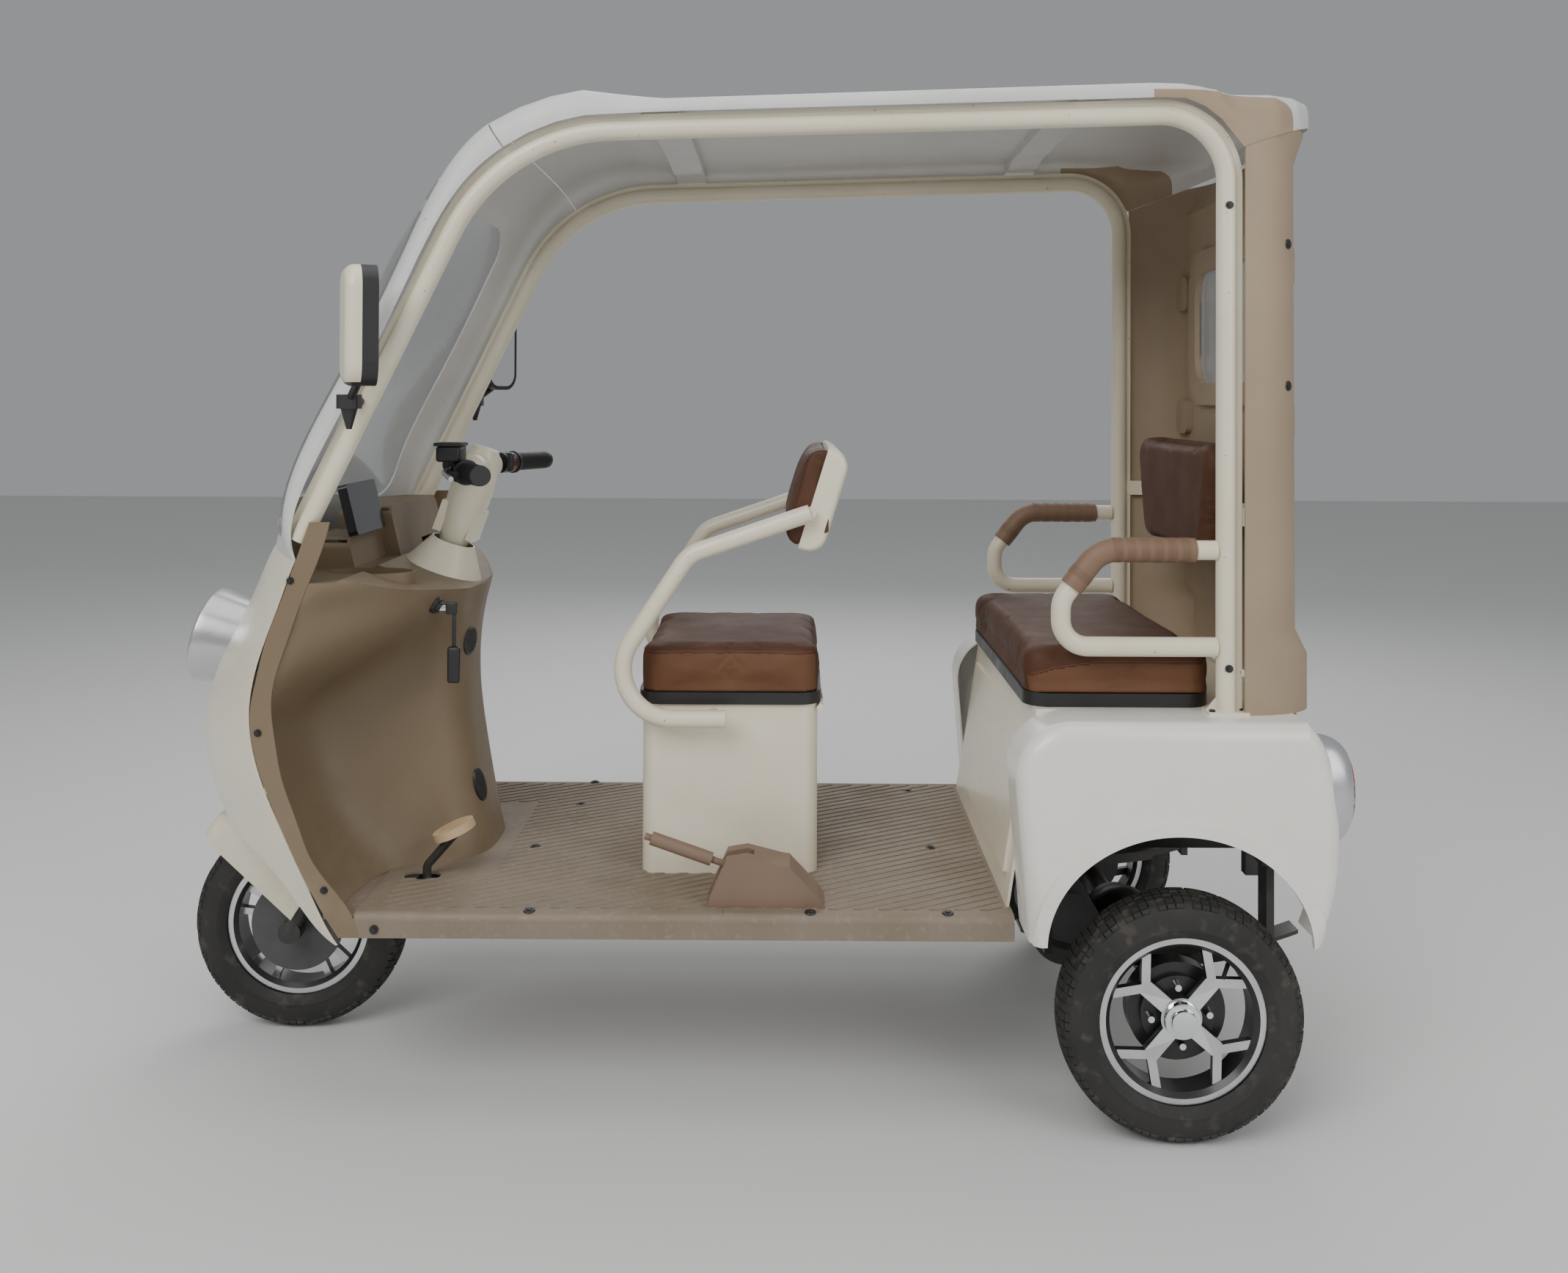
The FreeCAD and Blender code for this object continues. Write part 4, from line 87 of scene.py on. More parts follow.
def makeFinish(name, ownLook):
    look = {**finishBase, **ownLook}
    material = bpy.data.materials.new(name)
    material.use_nodes = True
    nodes, links = material.node_tree.nodes, material.node_tree.links
    shader = nodes["Principled BSDF"]
    coords = nodes.new("ShaderNodeTexCoord")

    def noise(scale, detail=4.0, rough=0.55):
        node = nodes.new("ShaderNodeTexNoise")
        node.inputs["Scale"].default_value = scale
        node.inputs["Detail"].default_value = detail
        node.inputs["Roughness"].default_value = rough
        links.new(coords.outputs["Object"], node.inputs["Vector"])
        return node.outputs["Fac"]

    def ramp(value, low, high, start=0.0, end=1.0):
        node = nodes.new("ShaderNodeMapRange")
        node.inputs["From Min"].default_value = low
        node.inputs["From Max"].default_value = high
        node.inputs["To Min"].default_value = start
        node.inputs["To Max"].default_value = end
        links.new(value, node.inputs["Value"])
        return node.outputs["Result"]

    def mixed(factor, first, second):
        node = nodes.new("ShaderNodeMix")
        node.data_type = "RGBA"
        links.new(factor, node.inputs["Factor"])
        for socket, colour in ((node.inputs[6], first), (node.inputs[7], second)):
            if isinstance(colour, tuple):
                socket.default_value = (*colour, 1.0)
            else:
                links.new(colour, socket)
        return node.outputs[2]

    def product(first, second):
        node = nodes.new("ShaderNodeMath")
        node.operation = "MULTIPLY"
        for socket, factor in zip(node.inputs, (first, second)):
            if isinstance(factor, float):
                socket.default_value = factor
            else:
                links.new(factor, socket)
        return node.outputs[0]

    mottle = ramp(noise(look["mottleScale"]), 0.35, 0.65)
    colour = mixed(mottle, look["colour"], look["shade"])
    if "speckle" in look:
        fleck = ramp(noise(look["speckleScale"], 2.0), *look["speckleRange"])
        colour = mixed(fleck, colour, look["speckle"])
    if "dust" in look:
        height = nodes.new("ShaderNodeSeparateXYZ")
        links.new(coords.outputs["Object"], height.inputs["Vector"])
        low = ramp(height.outputs["Z"], *look["dustRange"])
        patch = ramp(noise(look["dustScale"], 6.0, 0.65), 0.38, 0.68)
        colour = mixed(product(product(low, patch), look["dustAmount"]), colour, look["dust"])
    links.new(colour, shader.inputs["Base Color"])
    rough = ramp(noise(look["wearScale"], 5.0), 0.3, 0.7, *look["rough"])
    links.new(rough, shader.inputs["Roughness"])
    for socketName, value in finishSockets.items():
        shader.inputs[socketName].default_value = look[value]
    if look.get("grain") == "leather":
        cells = nodes.new("ShaderNodeTexVoronoi")
        cells.feature = "DISTANCE_TO_EDGE"
        cells.inputs["Scale"].default_value = look["grainScale"]
        links.new(coords.outputs["Object"], cells.inputs["Vector"])
        texture = ramp(cells.outputs["Distance"], 0.0, 0.25)
    else:
        texture = noise(look["grainScale"], 3.0, 0.6)
    bump = nodes.new("ShaderNodeBump")
    bump.inputs["Strength"].default_value = look["bump"]
    bump.inputs["Distance"].default_value = look["bumpDepth"]
    links.new(texture, bump.inputs["Height"])
    links.new(bump.outputs["Normal"], shader.inputs["Normal"])
    return material


# dustRange is the height where dust begins and the height where it is full
finishLooks = {
    "creamPaint": {
        "colour": (0.82, 0.76, 0.60), "shade": (0.79, 0.725, 0.555), "rough": (0.26, 0.36),
        "coat": 0.25, "speckle": (0.55, 0.46, 0.33), "speckleScale": 240.0,
        "speckleRange": (0.74, 0.80), "dust": (0.36, 0.29, 0.21), "dustRange": (0.62, 0.3),
        "dustAmount": 0.22, "bump": 0.05},
    "whitePanel": {
        "colour": (0.86, 0.845, 0.79), "shade": (0.83, 0.81, 0.745), "rough": (0.24, 0.34),
        "coat": 0.3, "dust": (0.36, 0.29, 0.21), "dustRange": (0.6, 0.3), "dustAmount": 0.25,
        "bump": 0.04},
    "hoopCream": {
        "colour": (0.80, 0.74, 0.58), "shade": (0.77, 0.70, 0.54), "rough": (0.3, 0.42),
        "coat": 0.15, "speckle": (0.33, 0.22, 0.12), "speckleScale": 130.0,
        "speckleRange": (0.73, 0.76), "bump": 0.08},
    "roofGrey": {
        "colour": (0.66, 0.655, 0.645), "shade": (0.61, 0.60, 0.585), "rough": (0.38, 0.52),
        "coat": 0.05, "mottleScale": 3.5, "speckle": (0.42, 0.38, 0.33), "speckleScale": 90.0,
        "speckleRange": (0.7, 0.8), "bump": 0.1},
    "beigeWall": {
        "colour": (0.36, 0.275, 0.185), "shade": (0.32, 0.24, 0.16), "rough": (0.48, 0.62),
        "mottleScale": 3.0, "grainScale": 700.0, "bump": 0.22},
    "shieldBrown": {
        "colour": (0.21, 0.155, 0.095), "shade": (0.185, 0.135, 0.08), "rough": (0.46, 0.6),
        "mottleScale": 3.0, "dust": (0.30, 0.24, 0.165), "dustRange": (0.62, 0.34),
        "dustAmount": 0.45, "grainScale": 700.0, "bump": 0.22},
    "floorPlastic": {
        "colour": (0.235, 0.19, 0.14), "shade": (0.20, 0.158, 0.113), "rough": (0.5, 0.68),
        "mottleScale": 5.0, "speckle": (0.27, 0.22, 0.165), "speckleScale": 70.0,
        "speckleRange": (0.55, 0.75), "grainScale": 500.0, "bump": 0.25},
    # the next two are one leather in a shaded and a lit copy: the darker one, painted shade, covers
    # the tops, and the lighter one, painted light, covers the sides below the seam
    "seatLeather": {
        "colour": (0.092, 0.038, 0.019), "shade": (0.074, 0.030, 0.015), "rough": (0.52, 0.64),
        "ior": 1.36, "grain": "leather", "grainScale": 420.0, "bump": 0.3, "mottleScale": 7.0},
    "seatSidePaintedLight": {
        "colour": (0.150, 0.066, 0.032), "shade": (0.128, 0.056, 0.027), "rough": (0.52, 0.64),
        "ior": 1.36, "grain": "leather", "grainScale": 420.0, "bump": 0.3},
    "seamThread": {
        "colour": (0.20, 0.055, 0.03), "shade": (0.17, 0.045, 0.025), "rough": (0.6, 0.75),
        "grainScale": 900.0, "bump": 0.2},
    "gripBrown": {
        "colour": (0.22, 0.135, 0.085), "shade": (0.19, 0.112, 0.068), "rough": (0.5, 0.66),
        "grainScale": 420.0, "bump": 0.25},
    "brakeBrown": {
        "colour": (0.225, 0.15, 0.105), "shade": (0.20, 0.132, 0.09), "rough": (0.45, 0.58),
        "grainScale": 620.0, "bump": 0.2},
    "padTan": {
        "colour": (0.55, 0.40, 0.24), "shade": (0.50, 0.35, 0.20), "rough": (0.55, 0.7),
        "grainScale": 420.0, "bump": 0.25},
    "blackPlastic": {
        "colour": (0.016, 0.016, 0.017), "shade": (0.024, 0.023, 0.023), "rough": (0.34, 0.5),
        "grainScale": 620.0, "bump": 0.18},
    "blackPaint": {
        "colour": (0.017, 0.017, 0.018), "shade": (0.028, 0.027, 0.026), "rough": (0.3, 0.48),
        "coat": 0.15, "dust": (0.14, 0.11, 0.08), "dustRange": (0.5, 0.12), "dustAmount": 0.35,
        "bump": 0.1},
    "tyreRubber": {
        "colour": (0.018, 0.0175, 0.017), "shade": (0.032, 0.030, 0.027), "rough": (0.62, 0.8),
        "speckle": (0.075, 0.062, 0.048), "speckleScale": 34.0, "speckleRange": (0.56, 0.78),
        "grainScale": 380.0, "bump": 0.3},
    "machinedMetal": {
        "colour": (0.72, 0.72, 0.73), "shade": (0.60, 0.60, 0.61), "rough": (0.24, 0.36),
        "metallic": 1.0, "grainScale": 900.0, "bump": 0.12, "mottleScale": 16.0},
    "brightChrome": {
        "colour": (0.82, 0.83, 0.84), "shade": (0.76, 0.77, 0.78), "rough": (0.07, 0.14),
        "metallic": 1.0, "bump": 0.02},
    "silverPaint": {
        "colour": (0.60, 0.60, 0.62), "shade": (0.55, 0.55, 0.57), "rough": (0.24, 0.34),
        "metallic": 0.75, "coat": 0.3, "bump": 0.04},
    "rimBlack": {
        "colour": (0.014, 0.014, 0.015), "shade": (0.022, 0.021, 0.021), "rough": (0.3, 0.42),
        "coat": 0.2, "bump": 0.08},
    "castGrey": {
        "colour": (0.11, 0.11, 0.11), "shade": (0.075, 0.075, 0.075), "rough": (0.5, 0.66),
        "metallic": 0.5, "grainScale": 240.0, "bump": 0.35},
    "smokedScreen": {
        "colour": (0.42, 0.43, 0.42), "shade": (0.38, 0.39, 0.38), "rough": (0.03, 0.06),
        "clear": 1.0, "ior": 1.45, "alpha": 0.6, "bump": 0.0},
    "mirrorFace": {
        "colour": (0.90, 0.91, 0.92), "shade": (0.86, 0.87, 0.88), "rough": (0.03, 0.06),
        "metallic": 1.0, "bump": 0.0},
    "lampRed": {
        "colour": (0.52, 0.012, 0.010), "shade": (0.44, 0.008, 0.007), "rough": (0.1, 0.16),
        "coat": 0.6, "bump": 0.02},
    "lampOrange": {
        "colour": (0.62, 0.11, 0.02), "shade": (0.55, 0.09, 0.015), "rough": (0.12, 0.2),
        "coat": 0.5, "bump": 0.02},
    "clearLens": {
        "colour": (0.90, 0.91, 0.91), "shade": (0.86, 0.87, 0.87), "rough": (0.04, 0.09),
        "clear": 0.95, "ior": 1.45, "bump": 0.02},
    "screenDark": {
        "colour": (0.012, 0.013, 0.015), "shade": (0.02, 0.021, 0.023), "rough": (0.12, 0.2),
        "coat": 0.5, "bump": 0.0},
}
finishes = {name: makeFinish(name, look) for name, look in finishLooks.items()}
print("finishes ready", len(finishes))

slotFinishes = {
    "frame_black": "blackPaint", "motor_grey": "castGrey", "battery_case": "blackPlastic",
    "floor_plastic": "floorPlastic", "inner_plastic": "shieldBrown", "wall_plastic": "beigeWall",
    "body_cream": "creamPaint", "body_white": "whitePanel", "roof_white": "roofGrey",
    "hoop_cream": "hoopCream", "screen_glass": "smokedScreen", "lamp_glass": "clearLens",
    "lamp_housing": "silverPaint", "lamp_red": "lampRed", "seat_leather": "seatLeather",
    "pan_black": "blackPlastic", "grip_brown": "gripBrown", "cover_brown": "brakeBrown",
    "mirror_glass": "mirrorFace", "rim_metal": "machinedMetal", "tyre_rubber": "tyreRubber",
}
ownFinish = {"steering_cowl": "creamPaint", "dash_display": "screenDark",
             "handlebar": "blackPlastic", "handlebar_grips": "blackPlastic"}
nodeSlot = {part["node"]: part["material_slot"] for part in frame["record"]["subparts"]}


def finishOf(nodeName):
    return ownFinish.get(nodeName, slotFinishes[nodeSlot[nodeName]])


for nodeName, node in cadNodes.items():
    node.data.materials.clear()
    node.data.materials.append(finishes[finishOf(nodeName)])


def keepPiece(name, bm, body, finishNames, angle=32.0, replaced=()):
    # edges that turn by more than the angle stay sharp
    limit = math.radians(angle)
    for face in bm.faces:
        face.smooth = True
    for edge in bm.edges:
        edge.smooth = len(edge.link_faces) == 2 and edge.calc_face_angle() < limit
    mesh = bpy.data.meshes.new(name)
    bm.to_mesh(mesh)
    bm.free()
    for finishName in finishNames:
        mesh.materials.append(finishes[finishName])
    piece = bpy.data.objects.new(name, mesh)
    bpy.context.scene.collection.objects.link(piece)
    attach(piece, body)
    if replaced:
        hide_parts(*replaced)
    return piece


def addPiece(name, bm, body, finishName, angle=32.0):
    bmesh.ops.recalc_face_normals(bm, faces=bm.faces)
    return keepPiece(name, bm, body, [finishName], angle)


def bodyOf(nodeName):
    return cadNodes[nodeName]["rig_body"]


def everything(bm):
    return bm.verts[:] + bm.edges[:] + bm.faces[:]


def skinOf(nodeName, angle, finishNames=None, paint=None, cuts=()):
    # the cuts give a painted edge a straight line of mesh edges to follow
    bm = bmesh.new()
    bm.from_mesh(cadNodes[nodeName].data)
    bmesh.ops.remove_doubles(bm, verts=bm.verts, dist=2e-5)
    bmesh.ops.dissolve_degenerate(bm, edges=bm.edges, dist=1e-6)
    for place, normal in cuts:
        bmesh.ops.bisect_plane(bm, geom=everything(bm), dist=1e-6, plane_co=place,
                               plane_no=normal)
    bm.normal_update()
    for face in bm.faces:
        face.material_index = paint(face) if paint else 0
    words = nodeName.split("_")
    pieceName = words[0] + "".join(word.title() for word in words[1:]) + "Skin"
    return keepPiece(pieceName, bm, bodyOf(nodeName), finishNames or [finishOf(nodeName)],
                     angle, (nodeName,))


def spinProfile(bm, points, centre, axis, steps):
    verts = [bm.verts.new(point) for point in points]
    edges = [bm.edges.new(pair) for pair in zip(verts, verts[1:])]
    bmesh.ops.spin(bm, geom=verts + edges, cent=centre, axis=axis, dvec=(0, 0, 0),
                   angle=math.tau, steps=steps, use_merge=True, use_duplicate=False)


def addDisc(bm, centre, axis, radius, depth, segments=24, tip=1.0, bevel=0.0):
    # stands on its centre along the axis, and tip is the far end's share of the radius
    axis = Vector(axis).normalized()
    turn = Vector((0, 0, 1)).rotation_difference(axis).to_matrix().to_4x4()
    place = Matrix.Translation(Vector(centre) + axis * depth / 2) @ turn
    made = bmesh.ops.create_cone(bm, cap_ends=True, cap_tris=False, segments=segments,
                                 radius1=radius, radius2=radius * tip, depth=depth,
                                 matrix=place)
    if bevel:
        top = [edge for edge in {e for v in made["verts"] for e in v.link_edges}
               if all((v.co - Vector(centre)).dot(axis) > depth * 0.6 for v in edge.verts)]
        bmesh.ops.bevel(bm, geom=top, offset=bevel, affect="EDGES", segments=2, profile=0.5,
                        material=-1)
    return made["verts"]


def addBlock(bm, low, high, bevel, segments=2):
    low, high = Vector(low), Vector(high)
    place = Matrix.Translation((low + high) / 2) @ Matrix.Diagonal((*(high - low), 1))
    made = bmesh.ops.create_cube(bm, size=1, matrix=place)
    edges = list({e for v in made["verts"] for e in v.link_edges})
    bmesh.ops.bevel(bm, geom=edges, offset=bevel, affect="EDGES", segments=segments,
                    profile=0.5, material=-1)


def addTube(name, points, radius, body, finishName, sides=4):
    curve = bpy.data.curves.new(name, "CURVE")
    curve.dimensions = "3D"
    curve.bevel_depth = radius
    curve.bevel_resolution = sides
    curve.use_fill_caps = True
    spline = curve.splines.new("NURBS")
    spline.points.add(len(points) - 1)
    for point, place in zip(spline.points, points):
        point.co = (*place, 1)
    spline.use_endpoint_u = True
    spline.order_u = 3
    spline.resolution_u = 8
    holder = bpy.data.objects.new(name + "Line", curve)
    bpy.context.scene.collection.objects.link(holder)
    mesh = bpy.data.meshes.new_from_object(holder)
    bpy.data.objects.remove(holder)
    bm = bmesh.new()
    bm.from_mesh(mesh)
    bpy.data.meshes.remove(mesh)
    return addPiece(name, bm, body, finishName, angle=50.0)


# half of the tyre's section, from the middle of the tread to the bead
tyreLook = {"steps": 84, "tread": 0.0032, "groove": 0.0013, "treadFrom": 0.191,
            "rowWidth": 0.0115, "middleRib": 0.006, "gapEvery": 4,
            "profile": [(0.0, 0.2068), (0.012, 0.2062), (0.023, 0.2044), (0.032, 0.2),
                        (0.0385, 0.193), (0.0405, 0.189), (0.0432, 0.178), (0.0442, 0.168),
                        (0.0436, 0.161), (0.0442, 0.1595), (0.0432, 0.1565), (0.0398, 0.148),
                        (0.036, 0.1425), (0.0335, 0.1418)]}


def makeTyre(nodeName, name):
    low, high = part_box(nodeName)
    centre = (low + high) / 2
    half = tyreLook["profile"]
    line = [(-y, r) for y, r in half[::-1]] + half[1:]
    bm = bmesh.new()
    points = [centre + Vector((r, y, 0)) for y, r in line]
    spinProfile(bm, points, centre, (0, 1, 0), tyreLook["steps"])
    bmesh.ops.remove_doubles(bm, verts=bm.verts, dist=1e-5)
    bmesh.ops.recalc_face_normals(bm, faces=bm.faces)
    raised = []
    for face in bm.faces:
        middle = face.calc_center_median() - centre
        if math.hypot(middle.x, middle.z) < tyreLook["treadFrom"]:
            continue
        share = math.atan2(middle.z, middle.x) / math.tau
        step = round(share * tyreLook["steps"] - 0.5)
        shift = min(int(abs(middle.y) / tyreLook["rowWidth"]), 3)  # gaps slant outwards
        slanted = step + (shift if middle.y > 0 else -shift)
        if abs(middle.y) < tyreLook["middleRib"] or slanted % tyreLook["gapEvery"] != 0:
            raised.append(face)
    bmesh.ops.inset_individual(bm, faces=raised, thickness=tyreLook["groove"],
                               depth=tyreLook["tread"], use_even_offset=True)
    return keepPiece(name, bm, bodyOf(nodeName), ["tyreRubber"], 38.0,
                     (nodeName,))


makeTyre("front_tyre", "frontTyreTread")
makeTyre("rear_tyre_left", "rearTyreTreadLeft")
makeTyre("rear_tyre_right", "rearTyreTreadRight")
print("tyres ready")

# reaches are measured from the axle, and the others along it from the wheel's middle
rimLook = {"track": 0.4, "flat": 0.9, "bedReach": 0.122, "lipReach": 0.129, "edgeReach": 0.14,
           "frontDisc": 0.028, "frontHubReach": 0.03, "capReach": 0.027, "capFrom": 0.0215,
           "nutReach": 0.05, "nutRadius": 0.0095, "nutFrom": 0.001, "spokeFrom": 0.02}
rimFinishes = ["machinedMetal", "rimBlack", "castGrey", "brightChrome"]
rimSides = {"front_rim": 0, "rear_rim_left": 1, "rear_rim_right": -1}


def rimPaint(nodeName):
    low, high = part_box(nodeName)
    centre = (low + high) / 2
    side = rimSides[nodeName]
    middle = Vector((centre.x, rimLook["track"] * side, centre.z))
    machined, black, cast, chrome = range(len(rimFinishes))

    def paint(face):
        place = face.calc_center_median() - middle
        reach = math.hypot(place.x, place.z)
        flat = abs(face.normal.y) > rimLook["flat"]
        if reach > rimLook["bedReach"]:
            shown = flat and reach > rimLook["lipReach"] or reach > rimLook["edgeReach"]
            return machined if shown else black
        if side == 0:
            if place.y > rimLook["frontDisc"]:
                return cast
            return machined if flat and reach > rimLook["frontHubReach"] else black
        outward = place.y * side
        if reach < rimLook["capReach"] and outward > rimLook["capFrom"]:
            return chrome
        onNut = abs(reach - rimLook["nutReach"]) < rimLook["nutRadius"]
        if onNut and outward > rimLook["nutFrom"]:
            return chrome
        return machined if flat and outward > rimLook["spokeFrom"] else black

    return paint


for rimNode in rimSides:
    skinOf(rimNode, 30.0, rimFinishes, rimPaint(rimNode))
print("rims ready")

# panels that show the solid's own shape, each with its sharp edges' angle
for panelNode, panelAngle in (
        ("front_apron", 40), ("leg_shield", 40), ("dash_bins", 40), ("windscreen_surround", 40),
        ("rear_wall", 30), ("dash", 30), ("cabin_hoop_left", 40), ("cabin_hoop_right", 40),
        ("rear_fender_left", 35), ("rear_fender_right", 35), ("armrests", 40),
        ("driver_seat_tubes", 40), ("driver_seat_box", 30), ("handlebar_cover", 35),
        ("front_mudguard", 35), ("bench_base", 30), ("steering_cowl", 40), ("handlebar", 35),
        ("front_fork", 35)):
    skinOf(panelNode, panelAngle)
print("panels ready")

# the roof's rear corners are beige below the top sheet
roofLook = {"cornerFrom": -0.74, "cornerSide": 0.36, "cornerTop": 1.8}


def roofPaint(face):
    middle = face.calc_center_median()
    behind = middle.x < roofLook["cornerFrom"] and abs(middle.y) > roofLook["cornerSide"]
    return 1 if behind and middle.z < roofLook["cornerTop"] else 0


roofCuts = [((roofLook["cornerFrom"], 0, 0), (1, 0, 0)),
            ((0, roofLook["cornerSide"], 0), (0, 1, 0)),
            ((0, -roofLook["cornerSide"], 0), (0, 1, 0)),
            ((0, 0, roofLook["cornerTop"]), (0, 0, 1))]
skinOf("roof", 40, ["roofGrey", "beigeWall"], roofPaint, roofCuts)

mirrorLook = {"centre": (0.6005, 0.5, 1.381), "yaw": 24.0, "armTop": 1.287}


def makeMirrorSkin(nodeName, side):
    # the shell's half round the glass and the arm below are black
    centre = Vector(mirrorLook["centre"])
    centre.y *= side
    yaw = math.radians(mirrorLook["yaw"])
    outward = Vector((math.cos(yaw), math.sin(yaw) * side, 0))

    def paint(face):
        place = face.calc_center_median()
        return 1 if place.z < mirrorLook["armTop"] or (place - centre).dot(outward) < 0 else 0

    cuts = [(centre, outward), ((0, 0, mirrorLook["armTop"]), (0, 0, 1))]
    skinOf(nodeName, 40, ["creamPaint", "blackPlastic"], paint, cuts)


makeMirrorSkin("mirror_left", 1)
makeMirrorSkin("mirror_right", -1)

pedalLook = {"padBottom": 0.437, "ribMiddle": (0.511, 0.218, 0.4655),
             "ribSize": (0.004, 0.048, 0.003), "along": (0.927, 0, -0.375), "pitch": 0.008}


def pedalPaint(face):
    return 1 if face.calc_center_median().z > pedalLook["padBottom"] else 0


skinOf("brake_pedal", 35, ["blackPaint", "padTan"], pedalPaint)

# a clear band runs round the red tail lenses
lensLook = {"bandLow": 0.574, "bandHigh": 0.618}


def lensPaint(face):
    return 1 if lensLook["bandLow"] < face.calc_center_median().z < lensLook["bandHigh"] else 0


lensCuts = [((0, 0, height), (0, 0, 1)) for height in lensLook.values()]
skinOf("tail_lenses", 35, ["lampRed", "clearLens"], lensPaint, lensCuts)
for plainNode in ("driver_backrest_shell", "tail_lamps", "headlamp", "armrest_grips",
                  "handlebar_grips", "parking_brake_lever"):
    skinOf(plainNode, 40)
print("painted skins ready")

# rest is the way to the side that a pad lies on, and seam its height along x
padLooks = {
    "bench_cushion": {
        "name": "benchCushionPad", "voxel": 0.006, "rest": (0, 0, -1), "inset": 0.006,
        "push": 0.015, "fill": 0.6, "seam": [(-0.8715, 0.7986), (-0.6525, 0.7955),
                                             (-0.58, 0.7865), (-0.535, 0.771), (-0.5015, 0.739)]},
    "driver_seat_cushion": {
        "name": "driverCushionPad", "voxel": 0.005, "rest": (0, 0, -1), "inset": 0.006,
        "push": 0.014, "fill": 0.6, "seam": [(-0.2, 0.784), (0.2, 0.784)]},
    "bench_backrest": {
        "name": "benchBackrestPad", "voxel": 0.005, "rest": (-1, 0, 0), "inset": 0.004,
        "push": 0.011, "fill": 0.6},
    "driver_backrest_pad": {
        "name": "driverBackrestPad", "voxel": 0.005, "inset": 0.004, "push": 0.011, "fill": 0.6,
        "rest": (-math.cos(math.radians(17)), 0, math.sin(math.radians(17)))},
}
clothLook = {"pressure": 4, "frames": 20, "cap": 0.026, "free": 0.02, "clearance": 0.0004,
             "seamWidth": 0.0026, "seamDepth": 0.0016}
threadLook = {"steps": 40, "inset": 0.012, "above": 0.003, "lift": 0.0003, "radius": 0.0008,
              "from": 0.6, "outerShare": 0.7}


def finishedMesh(holder):
    graph = bpy.context.evaluated_depsgraph_get()
    return bpy.data.meshes.new_from_object(holder.evaluated_get(graph))


def holderOf(name, mesh):
    holder = bpy.data.objects.new(name, mesh)
    bpy.context.scene.collection.objects.link(holder)
    return holder


def stuffed(mesh, name):
    # pressure from inside swells the sides between the corners
    holder = holderOf(name + "Cloth", mesh)
    cloth = holder.modifiers.new("stuffing", "CLOTH")
    cloth.settings.use_pressure = True
    cloth.settings.uniform_pressure_force = clothLook["pressure"]
    cloth.settings.effector_weights.gravity = 0
    scene = bpy.context.scene
    for step in range(1, clothLook["frames"] + 1):
        scene.frame_set(step)
    swollen = finishedMesh(holder)
    moved = [vert.co.copy() for vert in swollen.vertices]
    bpy.data.objects.remove(holder)
    scene.frame_set(1)
    return moved


def seamHeight(seam, x):
    for (firstX, firstZ), (lastX, lastZ) in zip(seam, seam[1:]):
        if x <= lastX:
            return firstZ + (lastZ - firstZ) * max(0.0, x - firstX) / (lastX - firstX)
    return seam[-1][1]


def evenForm(nodeName, look, rest):
    # the solid drawn in by the inset but left on its base, in even faces
    bm = bmesh.new()
    bm.from_mesh(cadNodes[nodeName].data)
    bmesh.ops.remove_doubles(bm, verts=bm.verts, dist=2e-5)
    bm.normal_update()
    base = max(vert.co.dot(rest) for vert in bm.verts) - clothLook["clearance"]
    moves = [vert.normal * look["inset"] for vert in bm.verts]
    for vert, move in zip(bm.verts, moves):
        vert.co -= move
        if move.dot(rest) > 0.5 * look["inset"]:
            vert.co += rest * (base - vert.co.dot(rest))
    mesh = bpy.data.meshes.new(look["name"])
    bm.to_mesh(mesh)
    bm.free()
    holder = holderOf(look["name"] + "Form", mesh)
    remesh = holder.modifiers.new("even", "REMESH")
    remesh.mode = "VOXEL"
    remesh.voxel_size = look["voxel"]
    even = finishedMesh(holder)
    bpy.data.objects.remove(holder)
    return even, base


def swell(even, base, look, rest, low, high):
    # the cloth's moves, capped and held back near the base and inside the solid's box
    starts = [vert.co.copy() for vert in even.vertices]
    ends = stuffed(even.copy(), look["name"])
    moves = [end - start for start, end in zip(starts, ends)]
    longest = max([move.length for move in moves] + [1e-6])
    share = min(1.0, look["push"] / min(longest, clothLook["cap"]))
    edge = clothLook["clearance"]
    for vert, start, move in zip(even.vertices, starts, moves):
        if move.length > clothLook["cap"]:
            move = move.normalized() * clothLook["cap"]
        depth = base - start.dot(rest)
        place = start + move * share * min(1.0, max(0.0, depth / clothLook["free"]))
        if depth < look["voxel"] * 0.6:
            place += rest * (base - place.dot(rest))
        vert.co = [min(max(value, first + edge), last - edge)
                   for value, first, last in zip(place, low, high)]


def pressSeam(even, seam):
    bm = bmesh.new()
    bm.from_mesh(even)
    bm.normal_update()
    if seam:
        for vert in bm.verts:
            if abs(vert.normal.z) < 0.8:
                gap = (vert.co.z - seamHeight(seam, vert.co.x)) / clothLook["seamWidth"]
                vert.co -= vert.normal * clothLook["seamDepth"] * math.exp(-gap * gap)
    bm.to_mesh(even)
    bm.free()


def sewThread(tree, look, nodeName, side, low, high):
    seam = look["seam"]
    first, last = low.x + threadLook["inset"], high.x - threadLook["inset"]
    points = []
    for step in range(threadLook["steps"] + 1):
        x = first + (last - first) * step / threadLook["steps"]
        height = seamHeight(seam, x) + threadLook["above"]
        start = Vector((x, side * threadLook["from"], height))
        place, normal = tree.ray_cast(start, Vector((0, -side, 0)))[:2]
        if place is not None and abs(place.y) > high.y * threadLook["outerShare"]:
            points.append(place + normal * threadLook["lift"])
    if len(points) > 3:
        name = look["name"] + "Thread" + ("Left" if side > 0 else "Right")
        addTube(name, points, threadLook["radius"], bodyOf(nodeName), "seamThread", sides=2)


